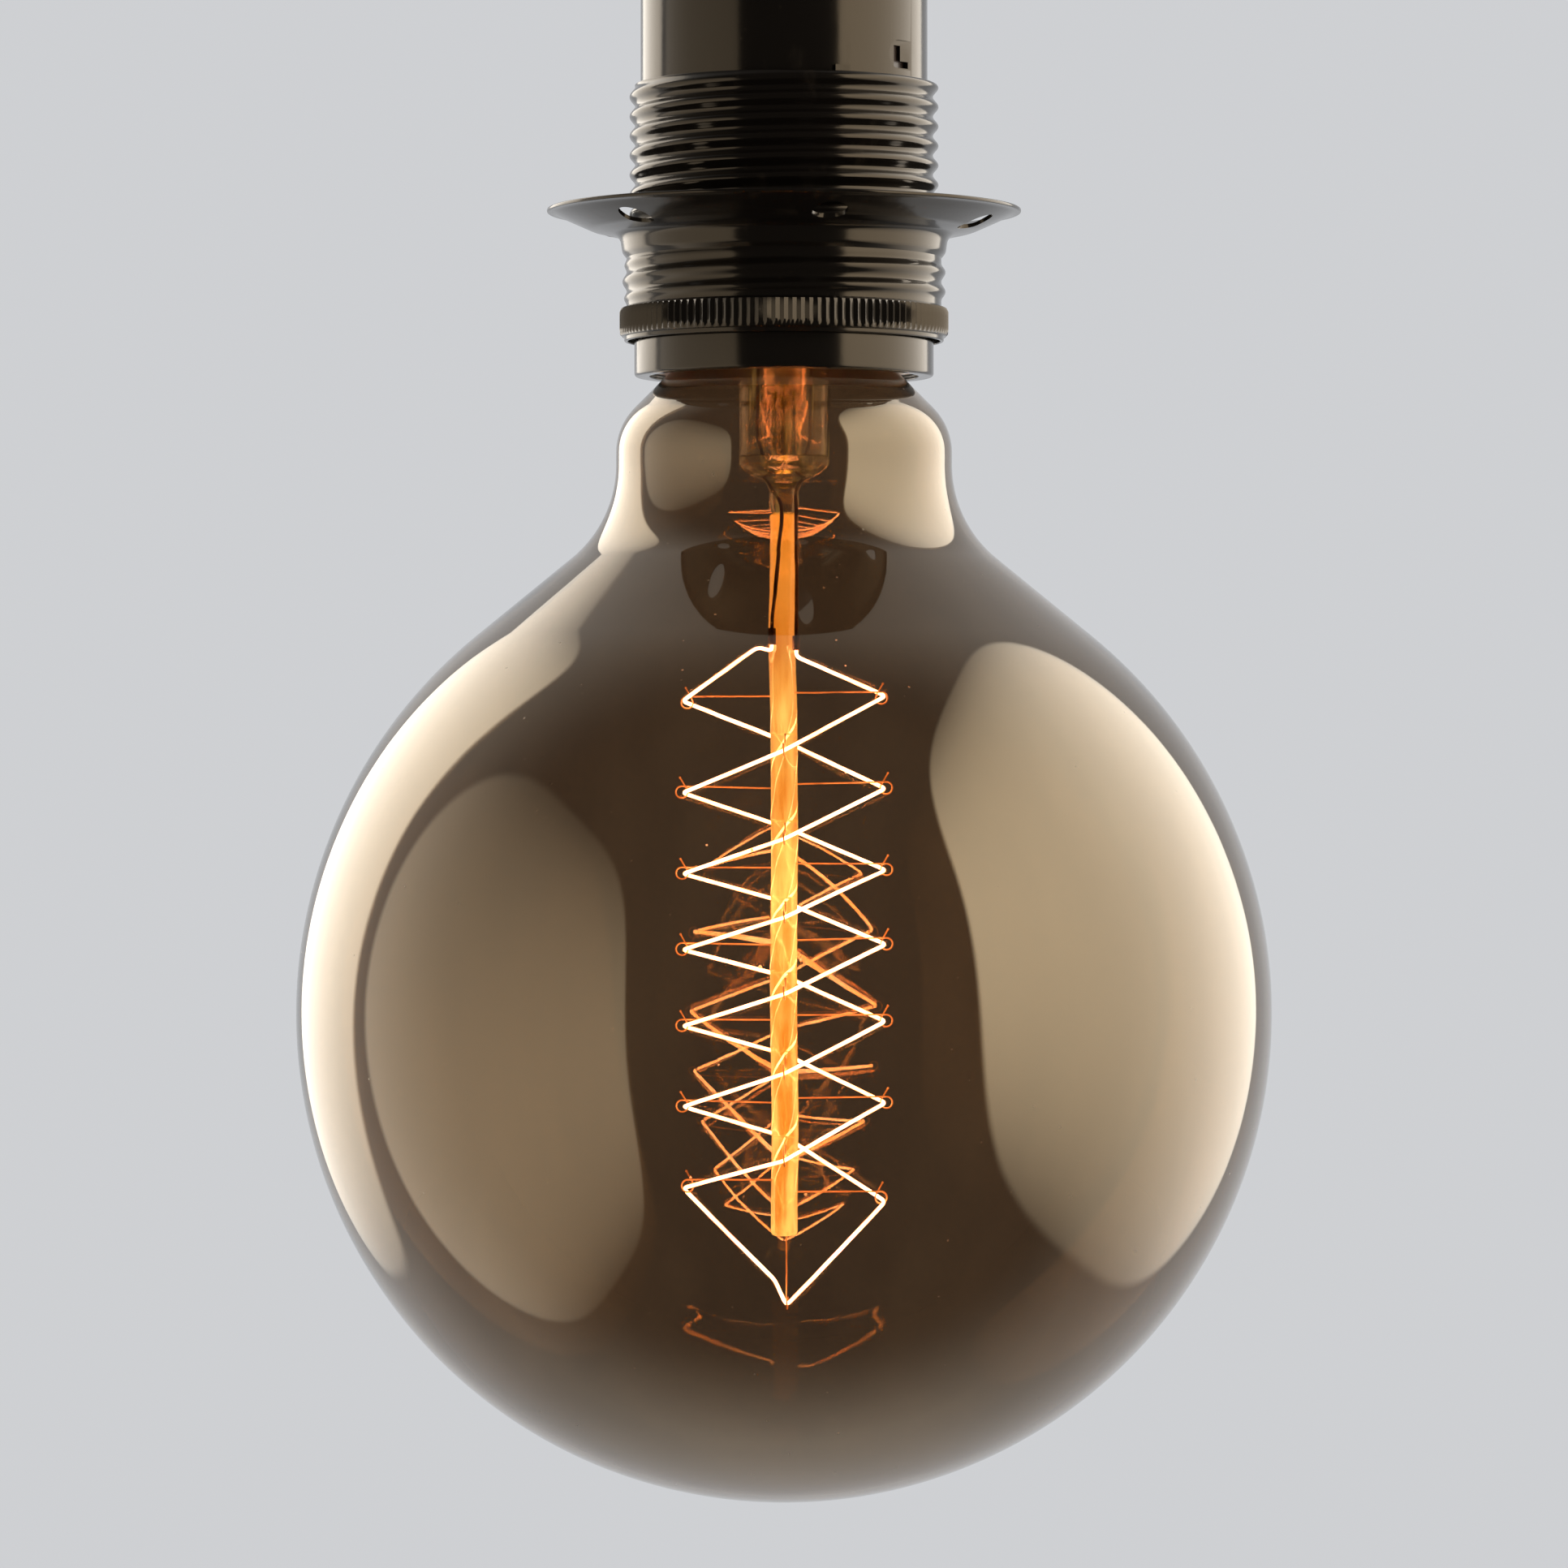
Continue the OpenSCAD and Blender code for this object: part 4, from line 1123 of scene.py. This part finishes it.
@dataclass
class ScrewCap:
    """The bulb's plated screw cap and the holder's screw shell."""

    shop: Workshop
    finishes: Finishes
    centre_z: float = GLOBE_Z
    rim: float = 84.5
    top: float = 112.5
    crest_r: float = 13.12
    root_r: float = 12.05
    sheet: float = 0.35
    pitch: float = 3.629
    thread_low: float = 88.0
    thread_high: float = 107.0
    crown_r: float = 10.0
    crown_z: float = 109.0
    wire_hole_r: float = 0.7
    contact_r: float = 4.8
    shell_low: float = 88.5
    shell_thread_high: float = 110.5
    shell_top: float = 114.45
    shell_r: float = 13.85
    shell_bore_r: float = 13.4
    shell_flange_r: float = 10.65
    shell_sheet: float = 0.4
    rows_per_pitch: int = 18
    steps: int = 144

    def build(self) -> None:
        """Make the cap, its insulator and contact, and the screw shell."""
        finishes = self.finishes
        glass = finishes.black_glass
        for name, shape, finish, body, slot, node in (
            ("screw_cap", self._cap, finishes.nickel, "bulb", "nickel", "cap_shell"),
            ("cap_insulating_glass", self._insulator, glass, "bulb", "black_glass", "cap_insulator"),
            ("cap_contact", self._contact, finishes.solder, "bulb_tip", "solder", "tip_contact"),
            ("screw_shell_drawn", self._shell, finishes.nickel, "holder", "nickel", "screw_shell"),
        ):
            self.shop.piece(name, shape(), finish, body, slot, [node])
        self.shop.dress(finishes.cement, "cap_cement")
        self.shop.dress(finishes.solder, "side_solder")

    def _thread(self, low: float, high: float, shift: float = 0.0) -> Thread:
        """The cap's thread between two heights from the middle of the globe, its crests moved up."""
        depth = self.crest_r - self.root_r
        return Thread(low + self.centre_z, high + self.centre_z, self.pitch, depth, self.centre_z + shift)

    def _cap(self) -> BMesh:
        """The rolled cap, which is one sheet of even thickness."""
        low, high, sheet = self.thread_low, self.thread_high, self.sheet
        thread = self._thread(low, high)
        rows = thread.rows(high - low, self.rows_per_pitch)
        skirt_r = self.crest_r + 0.05
        corners = placed([
            (skirt_r - sheet, self.rim, 0.05),
            (skirt_r, self.rim, 0.15),
            (skirt_r, low - 0.4, 0.4),
            *upright(self.root_r, low, high, rows),
            (self.crown_r, self.crown_z, 0.3),
            (self.crown_r - sheet, self.crown_z, 0.05),
            *upright(self.root_r - sheet, high, low, rows),
            (skirt_r - sheet, low - 0.8, 0.3),
        ], self.centre_z)
        bm = lathe(outline(corners), self.steps)
        shift_radius(bm, lambda r, z, a: thread.rise(z, a))
        return bm

    def _insulator(self) -> BMesh:
        """The black glass between cap and contact."""
        z, r = self.crown_z, self.crown_r
        inside = r - self.sheet - 0.15
        seat = self.top - 0.92
        corners = placed([
            (self.wire_hole_r, z - 1.4, 0.0),
            (inside, z - 1.4, 0.2),
            (inside, z + 0.05, 0.0),
            (r + 0.15, z + 0.05, 0.2),
            (r, z + 0.7, 0.3),
            (6.6, z + 2.1, 0.5),
            (5.4, seat, 0.2),
            (self.wire_hole_r, seat, 0.0),
        ], self.centre_z)
        return lathe(outline(corners), self.steps)

    def _contact(self) -> BMesh:
        """The contact button with its drop of solder."""
        top, r = self.top, self.contact_r
        corners = placed([
            (0.0, top - 0.8, 0.0),
            (r, top - 0.8, 0.1),
            (r, top - 0.45, 0.15),
            (3.6, top - 0.3, 0.2),
            (2.2, top - 0.2, 0.3),
            (1.6, top - 0.02, 0.5),
            (0.0, top - 0.01, 0.0),
        ], self.centre_z)
        return lathe(outline(corners, closed=False), self.steps, closed=False)

    def _shell(self) -> BMesh:
        """The holder's screw shell, whose thread stands into its bore."""
        low, high = self.shell_low, self.shell_thread_high
        bore, flange, top = self.shell_bore_r, self.shell_flange_r, self.shell_top
        thread = self._thread(low, high, self.pitch / 2)
        corners = placed([
            *upright(bore, high, low, thread.rows(high - low, self.rows_per_pitch)),
            (self.shell_r, low, 0.1),
            (self.shell_r, top, 0.3),
            (flange, top, 0.1),
            (flange, top - self.shell_sheet, 0.1),
            (bore, top - self.shell_sheet, 0.2),
        ], self.centre_z)
        bm = lathe(outline(corners), self.steps)
        shift_radius(bm, lambda r, z, a: -thread.rise(z, a) if r < bore + 0.1 else 0.0)
        return bm


@dataclass
class Stem:
    """The glass stem: flare, exhaust tube, press and centre rod, with the lead wires."""

    shop: Workshop
    finishes: Finishes
    centre_z: float = GLOBE_Z
    flare_r: float = 5.825
    wall: float = 0.9
    flare_top: float = 94.75
    flare_neck: float = 83.5
    bell_r: float = 11.1
    press_top: float = 71.3
    press_low: float = 63.5
    press_r: float = 2.0
    squeeze: float = 0.22
    exhaust_r: float = 1.85
    exhaust_bore_r: float = 1.0
    exhaust_top: float = 101.0
    rod_r: float = 1.72
    rod_low: float = -28.5
    lead_r: float = 0.25
    lead_bend: float = 0.8
    lead_x: float = 1.55
    lead_y: float = -1.8
    left_exit: Point = (-0.3, -2.1)
    clamp_top: float = 48.9
    clamp_len: float = 1.8
    clamp_r: float = 0.5
    clamp_bore_r: float = 0.32
    right_drop: float = 0.7
    rod_bend: float = 0.3
    rod_bend_low: float = 34.7
    rod_sway: float = 0.1
    rod_wave: float = 47.0
    steps: int = 96

    def build(self) -> None:
        """Make the glass and the wires of the stem."""
        finishes = self.finishes
        for name, shape, finish, slot, node in (
            ("flare_glass", self._flare, finishes.flare, "stem_glass", "flare_tube"),
            ("exhaust_glass", self._exhaust, finishes.clear, "stem_glass", "exhaust_tube"),
            ("press_glass", self._press, finishes.press, "stem_glass", "stem_press"),
            ("rod_glass", self._rod, finishes.lit, "lit_glass", "centre_rod"),
        ):
            self.shop.piece(name, shape(), finish, "bulb", slot, [node])
        lead = finishes.lead
        for name, side in (("lead_wire_a", -1), ("lead_wire_b", 1)):
            bm = self.shop.wire([bent(self._lead(side), self.lead_bend, 6)], self.lead_r, 10)
            self.shop.piece(name + "_drawn", bm, lead, "bulb", "lead_wire", [name])
        self.shop.piece("lead_clamp_tubes", self._clamps(), lead, "bulb", "lead_wire", ["lead_clamps"])

    def clamp_height(self, side: int) -> float:
        """Height of a clamp's top above the middle of the globe. The right one sits lower."""
        return self.clamp_top - (self.right_drop if side > 0 else 0.0)

    def _flare(self) -> BMesh:
        """The flare tube, which widens to the neck at its top and closes in at the press."""
        r, bore, bell = self.flare_r, self.flare_r - self.wall, self.bell_r
        low, neck, top = self.press_top + 0.05, self.flare_neck, self.flare_top
        corners = placed([
            (bore, low, 0.2),
            (r, low, 0.1),
            (r, neck, 1.5),
            (r + 1.2, neck + 4.5, 1.5),
            (bell - 1.6, top - 3.0, 0.8),
            (bell, top - 0.65, 0.1),
            (bell, top, 0.2),
            (bell - 1.0, top, 0.2),
            (bell - 2.6, top - 2.6, 0.8),
            (r + 0.3, neck + 5.0, 1.5),
            (bore, neck, 1.5),
        ], self.centre_z)
        return lathe(outline(corners), self.steps)

    def _exhaust(self) -> BMesh:
        """The exhaust tube with its melted end."""
        r, bore = self.exhaust_r, self.exhaust_bore_r
        low, top = self.press_top - 1.5, self.exhaust_top
        corners = placed([
            (0.0, top, 0.0),
            (r * 0.6, top - 0.3, 0.4),
            (r, top - 2.6, 0.8),
            (r, low, 0.1),
            (bore, low, 0.1),
            (bore, top - 3.0, 0.8),
            (0.0, top - 1.3, 0.0),
        ], self.centre_z)
        return lathe(outline(corners, closed=False), self.steps, closed=False)

    def _press(self) -> BMesh:
        """The press: the flare tube's end, drawn in and squeezed on the wires."""
        r, top, low, p = self.flare_r, self.press_top, self.press_low, self.press_r
        bore = self.exhaust_r + 0.05
        corners = placed([
            (0.0, low, 0.0),
            (p * 0.8, low, 0.4),
            (p, low + 1.6, 0.6),
            (p * 0.92, low + 3.0, 0.6),
            (p * 1.15, low + 4.4, 0.6),
            (r * 0.72, top - 2.6, 1.4),
            (r, top - 1.3, 1.2),
            (r, top, 0.1),
            (r - self.wall, top, 0.1),
            (r * 0.66, top - 1.35, 0.6),
            (bore, top - 1.6, 0.1),
            (0.0, top - 1.6, 0.0),
        ], self.centre_z)
        bm = lathe(outline(corners, closed=False, steps=8), self.steps, closed=False)
        for v in bm.verts:
            squeezed = fade(v.co.z / MM - self.centre_z, low - 3.0, top - 1.5, 3.0)
            v.co.y *= 1 - self.squeeze * squeezed
        return bm

    def _rod(self) -> BMesh:
        """The centre rod, slightly bent where it was joined to the press."""
        r, low, top = self.rod_r, self.rod_low, self.press_low - 0.05
        start = self.rod_bend_low
        corners = placed([
            (0.0, low, 0.0),
            (r, low, 0.7),
            *upright(r, low + 3.0, top - 2.5, 60),
            (r * 1.08, top, 0.5),
            (0.0, top, 0.0),
        ], self.centre_z)
        bm = lathe(outline(corners, closed=False), self.steps, closed=False)
        for v in bm.verts:
            z = v.co.z / MM - self.centre_z
            sway = self.rod_sway * math.sin(math.tau * (z - low) / self.rod_wave)
            shift = sway * fade(z, low, start, 20.0)
            if z > start:
                shift -= self.rod_bend * math.sin(math.pi * (z - start) / (top - start)) ** 2
            v.co.x += shift * MM
        return bm

    def _lead(self, side: int) -> list[Vector]:
        """Route of a lead wire from the cap to its clamp.

        Args:
            side: -1 for the left wire and 1 for the right one.

        Returns:
            Its corners in the frame.
        """
        starts = {
            -1: [(0.0, 0.0, 111.55), (0.0, 0.0, 106.0), (-2.6, 0.0, 101.0)],
            1: [(10.8, 0.0, 106.6), (7.0, 0.0, 102.5)],
        }
        way_out = self.left_exit if side < 0 else (self.lead_x, self.lead_y)
        clamp = self.clamp_height(side)
        corners = starts[side] + [
            (side * 3.4, 0.0, 90.5),
            (side * 3.4, 0.0, 74.0),
            (side * 1.35, 0.0, 67.0),
            (*way_out, 64.7),
            (*way_out, 62.3),
            (side * self.lead_x, self.lead_y, clamp + 1.2),
            (side * self.lead_x, self.lead_y, clamp - 0.4),
        ]
        return [Vector((x, y, z + self.centre_z)) for x, y, z in corners]

    def _clamps(self) -> BMesh:
        """Small tubes that clamp the filament's ends to the lead wires."""
        bm = bmesh.new()
        bore, r = self.clamp_bore_r, self.clamp_r
        for side in (-1, 1):
            top = self.clamp_height(side)
            low = top - self.clamp_len
            corners = [(bore, low, 0.0), (r, low, 0.08), (r, top, 0.08), (bore, top, 0.0)]
            tube = lathe(outline(placed(corners, self.centre_z)), 20)
            aside = Vector((side * self.lead_x, self.lead_y, 0)) * MM
            bmesh.ops.translate(tube, verts=tube.verts, vec=aside)
            mesh = bpy.data.meshes.new("clamp")
            tube.to_mesh(mesh)
            tube.free()
            bm.from_mesh(mesh)
            bpy.data.meshes.remove(mesh)
        return bm


def bent(corners: Sequence[Vector], reach: float, steps: int) -> list[Vector]:
    """Round the corners of a wire's route.

    Args:
        corners: Its corners.
        reach: Distance from a corner at which the bend starts.
        steps: Segments in a bend.

    Returns:
        The rounded route.
    """
    points = [Vector(corners[0])]
    for before, here, after in zip(corners, corners[1:], corners[2:]):
        start, stop = (
            here + (other - here).normalized() * min(reach, (other - here).length * 0.49)
            for other in (before, after)
        )
        for s in range(steps + 1):
            u = s / steps
            points.append(start * (1 - u) ** 2 + here * (2 * u * (1 - u)) + stop * u**2)
    points.append(Vector(corners[-1]))
    return points


@dataclass
class FilamentCage:
    """The double spiral filament and the wire hooks that hold it."""

    shop: Workshop
    finishes: Finishes
    stem: Stem
    centre_z: float = GLOBE_Z
    radius: float = 13.0
    top: float = 40.3
    quarter_fall: float = 5.31
    quarters: int = 12
    drift: float = 1.1
    lean: float = 0.75
    side_lean: float = 0.3
    end_skew: float = 1.2
    tip: float = -37.4
    tip_x: float = 0.3
    tip_rise: float = 0.3
    tip_slide: float = 0.01
    tip_steps: int = 23
    tip_approach: Corner = (-1.2, -1.2, 3.4)
    left_arch: Corner = (-3.4, -1.6, 46.8)
    clamp_tuck: float = 0.2
    clamp_drop: float = 0.8
    wire_r: float = 0.22
    coil_r: float = 0.34
    coil_wire_r: float = 0.065
    coil_pitch: float = 0.56
    coil_sides: int = 7
    turn_r: float = 0.7
    hook_r: float = 0.1
    eye_r: float = 0.765
    eye_out: float = 0.35
    end_eye_out: float = 0.1
    eye_rise: float = 0.08
    end_shift: float = 1.0
    eye_sweep: float = math.radians(300)
    eye_steps: int = 28
    slide: float = 0.13
    droop: float = 0.3
    tail: float = 1.7
    bead_r: float = 0.15
    root_depth: float = 0.5
    tip_root_depth: float = 0.6

    def build(self) -> None:
        """Make the filament and its hooks."""
        route = bent(self._route(), self.turn_r, 5)
        self.shop.piece(
            "filament_wire", self.shop.wire([route], self.wire_r, 10), self.finishes.glowing,
            "bulb", "glowing_wire", ["filament"],
        )
        coil = self.shop.wire([self._coil(route)], self.coil_wire_r, 4)
        self.shop.piece("filament_coil", coil, self.finishes.coil, "bulb", "glowing_wire")
        for side in Side:
            node = f"hooks_{side.name.lower()}"
            paths = [self._hook(side, strand, q) for strand, q in self._bends(side)]
            bm = self.shop.wire(paths, self.hook_r, 8, self.bead_r)
            self.shop.piece(node + "_wires", bm, self.finishes.hook, "bulb", "hook_wire", [node])
        bm = self.shop.wire([self._tip_hook()], self.hook_r, 8)
        self.shop.piece("tip_hook_wire", bm, self.finishes.hook, "bulb", "hook_wire", ["tip_hook"])

    @staticmethod
    def _angle(strand: int, quarter: int) -> float:
        """Angle of a bend in degrees, falling clockwise seen from above."""
        return (180 if strand == 0 else 0) - 90 * quarter

    def _height(self, strand: int, quarter: int) -> float:
        """Height of a bend in the frame."""
        angle = math.radians(self._angle(strand, quarter))
        swing = self.drift * math.sin(math.tau * quarter / self.quarters)
        lean = self.lean * math.sin(angle) + self.side_lean * math.cos(angle)
        if quarter == self.quarters:
            lean += self.end_skew * (1 - 2 * strand)
        return self.centre_z + self.top - self.quarter_fall * quarter - swing + lean

    def _bend(self, strand: int, quarter: int) -> Vector:
        """Place of a bend."""
        a = math.radians(self._angle(strand, quarter))
        return Vector((self.radius * math.cos(a), self.radius * math.sin(a), self._height(strand, quarter)))

    def _bends(self, side: Side) -> list[tuple[int, int]]:
        """Strand and quarter turn of each bend on one side."""
        return [
            (strand, q) for strand in (0, 1) for q in range(self.quarters + 1)
            if (self._angle(strand, q) - side.value) % 360 == 0
        ]

    def _eye(self, strand: int, quarter: int) -> Vector:
        """Where an eye holds a bend, a little along the next stretch at a strand's two ends."""
        here = self._bend(strand, quarter)
        before, after = ((self._bend(strand, quarter + step) - here).normalized() for step in (-1, 1))
        if quarter == 0:
            return here + after * self.end_shift
        if quarter == self.quarters:
            return here + before * self.end_shift
        return here + (before + after) * (self.turn_r / 4)

    def _route(self) -> list[Vector]:
        """Corners of the filament, down one strand to the tip and up the other."""
        x, y, z = self.tip_approach
        middle = [(x, y, self.tip + z), (self.tip_x, 0.0, self.tip)]
        first, turn, last = (
            [Vector((x, y, z + self.centre_z)) for x, y, z in part]
            for part in ([*self._clamped(-1), self.left_arch], middle, self._clamped(1)[::-1])
        )
        down = [self._bend(0, q) for q in range(self.quarters + 1)]
        up = [self._bend(1, q) for q in range(self.quarters, -1, -1)]
        return first + down + turn + up + last

    def _clamped(self, side: int) -> list[Corner]:
        """The filament's end in a clamp and its first corner below it."""
        stem = self.stem
        mouth = stem.clamp_height(side) - stem.clamp_len
        heights = (mouth + self.clamp_tuck, mouth - self.clamp_drop)
        return [(side * stem.lead_x, stem.lead_y, height) for height in heights]

    def _coil(self, route: Sequence[Vector]) -> list[Vector]:
        """Route of the fine wire that is wound round the filament's core.

        Args:
            route: The core's route.

        Returns:
            The points of the winding.
        """
        step = self.coil_pitch / self.coil_sides
        across = Vector((0.0, 0.0, 1.0))
        points, turned, left = [], 0, 0.0
        for start, stop in zip(route, route[1:]):
            along = (stop - start).normalized()
            across = (across - along * across.dot(along)).normalized()
            beside = along.cross(across)
            length = (stop - start).length
            while left < length:
                a = math.tau * turned / self.coil_sides
                out = across * math.cos(a) + beside * math.sin(a)
                points.append(start + along * left + out * self.coil_r)
                turned += 1
                left += step
            left -= length
        return points

    def _hook(self, side: Side, strand: int, quarter: int) -> list[Vector]:
        """Route of one hook: an arm, an eye round the filament and a free tail that crosses the arm.

        Args:
            side: The side that it points to.
            strand: Strand of the bend that it holds.
            quarter: Quarter turns of the strand down to that bend.

        Returns:
            The points of its wire.
        """
        a = math.radians(side.value)
        outward = Vector((math.cos(a), math.sin(a), 0))
        across = Vector((-math.sin(a), math.cos(a), 0))
        place = self._eye(strand, quarter)
        out = self.end_eye_out if quarter in (0, self.quarters) else self.eye_out
        middle = place + outward * out + Vector((0, 0, self.eye_rise))
        turn = arc_points(self.eye_r, math.pi / 2, math.pi / 2 - self.eye_sweep, self.eye_steps)
        lean = -self.eye_sweep
        tail = (turn[-1][0] + self.tail * math.cos(lean), turn[-1][1] + self.tail * math.sin(lean))
        droop = self.droop * math.sin(2.4 * (quarter + 5 * strand)) ** 2
        start = self.stem.rod_r - self.root_depth - middle.dot(outward)
        root = (start, self.eye_r - droop)
        points = []
        for i, (x, z) in enumerate([root, *turn, tail]):
            aside = self.slide * (2 * max(0, i - 1) / self.eye_steps - 1)
            points.append(middle + outward * x + across * aside + Vector((0, 0, z)))
        return points

    def _tip_hook(self) -> list[Vector]:
        """Route of the hook under the rod."""
        steps = self.tip_steps
        middle = Vector((self.tip_x, 0.0, self.tip + self.tip_rise + self.centre_z))
        root_z = self.stem.rod_low + self.tip_root_depth + self.centre_z
        points = [Vector((self.tip_x, 0.0, root_z))]
        for i in range(steps):
            a = math.pi / 2 + math.tau * i / steps
            spoke = Vector((0.0, self.eye_r * math.cos(a), self.eye_r * math.sin(a)))
            points.append(middle + spoke + Vector((self.tip_slide * i, 0.0, 0.0)))
        return points


@dataclass(frozen=True)
class SoftBox:
    """A soft box that stands upright beside the bulb.

    Its side is -1 for the left and 1 for the right. Near and far are the y and height of its lower
    corner on the camera's side and of its upper corner away from the camera, in metres.
    """

    name: str
    side: int
    near: Point
    far: Point
    brightness: float


@dataclass
class Studio:
    """Pale floor, soft boxes and the camera at the photograph's angle."""

    pale: Colour = (0.62, 0.63, 0.65)
    floor_tones: tuple[Colour, Colour] = ((0.66, 0.66, 0.66), (0.70, 0.70, 0.70))
    dim: Colour = (0.05, 0.05, 0.052)
    floor_z: float = -1.25
    floor_r: float = 6.0
    camera_distance: float = 0.833
    camera_z: float = -0.1206
    focal_px: float = 8000.0
    image_px: float = 1932.0
    sensor_mm: float = 36.0
    box_distance: float = 0.62
    boxes: tuple[SoftBox, ...] = (
        SoftBox("right_box", 1, (-0.66, -0.70), (0.86, 1.06), 3.3),
        SoftBox("left_box", -1, (-0.88, -1.15), (0.24, 0.47), 1.3),
        SoftBox("left_strip", -1, (0.27, -0.62), (1.42, 0.98), 3.2),
    )
    warm: Colour = (1.0, 0.92, 0.80)
    ambient: float = 0.62
    roundness: float = 3.2
    falloff: float = 0.9
    soft_edge: float = 0.85
    mottle_mm: float = 60.0
    floor_fade: Point = (0.7, 2.6)
    front_fade: Point = (-0.2, 0.7)

    def build(self) -> None:
        """Set up everything round the object."""
        scene = bpy.context.scene
        scene.view_settings.view_transform = "Standard"
        self._camera(scene)
        self._floor()
        self._world(scene)
        for box in self.boxes:
            self._soft_box(box)
        LOG.info("studio ready")

    def _camera(self, scene: bpy.types.Scene) -> None:
        """Place the camera in front of the bulb, a little above the middle of its globe."""
        data = bpy.data.cameras.new("camera")
        data.sensor_width = self.sensor_mm
        data.lens = self.focal_px / self.image_px * self.sensor_mm
        camera = bpy.data.objects.new("camera", data)
        camera.location = (0.0, -self.camera_distance, self.camera_z)
        camera.rotation_euler = (math.pi / 2, 0.0, 0.0)
        scene.collection.objects.link(camera)
        scene.camera = camera

    def _floor(self) -> None:
        """A pale floor that runs into the backdrop's colour far from the object."""
        bm = bmesh.new()
        bmesh.ops.create_circle(bm, cap_ends=True, segments=96, radius=self.floor_r)
        bmesh.ops.translate(bm, verts=bm.verts, vec=(0, 0, self.floor_z))
        floor = stand("floor", bm)
        g = Graph.of_material("floor")
        mottle = g.noise(self.mottle_mm, 4.0)
        away = g.add("ShaderNodeVectorMath", {0: g.place}, operation="LENGTH")
        far = Signal(g, away.outputs["Value"]).smooth(*self.floor_fade)
        near = g.add("ShaderNodeBsdfDiffuse", {"Color": g.mixed(mottle, *self.floor_tones)})
        front = self._front(g, g.place)
        plain = g.add("ShaderNodeEmission", {"Color": g.mixed(front, self.pale, self.dim)})
        values = {0: far.larger(front), 1: near.outputs[0], 2: plain.outputs[0]}
        mix = g.add("ShaderNodeMixShader", values)
        g.add("ShaderNodeOutputMaterial", {"Surface": mix.outputs[0]})
        floor.data.materials.append(g.owner)

    def _world(self, scene: bpy.types.Scene) -> None:
        """A dim even surround that looks pale to the camera, through glass and in most reflections."""
        g = Graph(bpy.data.worlds.new("surround"))
        path = g.add("ShaderNodeLightPath").outputs
        kinds = ("Camera", "Glossy", "Transmission")
        camera, glossy, through = (Signal(g, path[f"Is {kind} Ray"]) for kind in kinds)
        seen = camera.larger(glossy).larger(through)
        white = {"Color": (1.0, 1.0, 1.0, 1.0), "Strength": self.ambient}
        soft = g.add("ShaderNodeBackground", white)
        front = self._front(g, g.add("ShaderNodeTexCoord").outputs["Generated"])
        plain = g.add("ShaderNodeBackground", {"Color": g.mixed(front, self.pale, self.dim)})
        mix = g.add("ShaderNodeMixShader", {0: seen, 1: soft.outputs[0], 2: plain.outputs[0]})
        g.add("ShaderNodeOutputWorld", {"Surface": mix.outputs[0]})
        scene.world = g.owner

    def _front(self, g: Graph, way: Socket) -> Signal:
        """Where reflections show the dim room in front of the object.

        Args:
            g: The graph of the floor or the world.
            way: Direction from the object.

        Returns:
            1 in front of the object and 0 behind it and for anything but a reflection.
        """
        unit = g.add("ShaderNodeVectorMath", {0: way}, operation="NORMALIZE").outputs[0]
        parts = g.add("ShaderNodeSeparateXYZ", {0: unit})
        reflected = Signal(g, g.add("ShaderNodeLightPath").outputs["Is Glossy Ray"])
        return reflected * (1 - Signal(g, parts.outputs["Y"]).smooth(*self.front_fade))

    def _soft_box(self, box: SoftBox) -> None:
        """Stand a soft box beside the bulb."""
        near, far = box.near, box.far
        data = bpy.data.lights.new(box.name, "AREA")
        data.shape = "RECTANGLE"
        data.size, data.size_y = far[0] - near[0], far[1] - near[1]
        data.energy = box.brightness * math.pi * data.size * data.size_y
        g = Graph(data)
        place = g.add("ShaderNodeNewGeometry").outputs["Parametric"]
        parts = g.add("ShaderNodeSeparateXYZ", {0: place})
        across, up = (abs(Signal(g, parts.outputs[axis]) * 2 - 1) for axis in "XY")
        inside = 1 - (across**self.roundness + up**self.roundness).smooth(self.soft_edge, 1.0)
        face = inside * (1 - up**2 * self.falloff)
        colour = g.mixed(face, (0.0, 0.0, 0.0), self.warm)
        lamp = g.add("ShaderNodeEmission", {"Color": colour})
        g.add("ShaderNodeOutputLight", {"Surface": lamp.outputs[0]})
        light = bpy.data.objects.new(box.name, data)
        light.location = (box.side * self.box_distance, (near[0] + far[0]) / 2, (near[1] + far[1]) / 2)
        light.rotation_euler = (math.pi / 2, 0.0, box.side * math.pi / 2)
        light.visible_camera = False
        bpy.context.scene.collection.objects.link(light)


def main() -> None:
    """Build the object and the studio round it."""
    logging.basicConfig(level=logging.INFO, format="%(name)s: %(message)s")
    shop, finishes = Workshop(), Finishes()
    stem = Stem(shop, finishes)
    Lampholder(shop, finishes).build()
    ScrewCap(shop, finishes).build()
    GlobeGlass(shop, finishes).build()
    stem.build()
    FilamentCage(shop, finishes, stem).build()
    Studio().build()


if __name__ == "__main__":
    main()
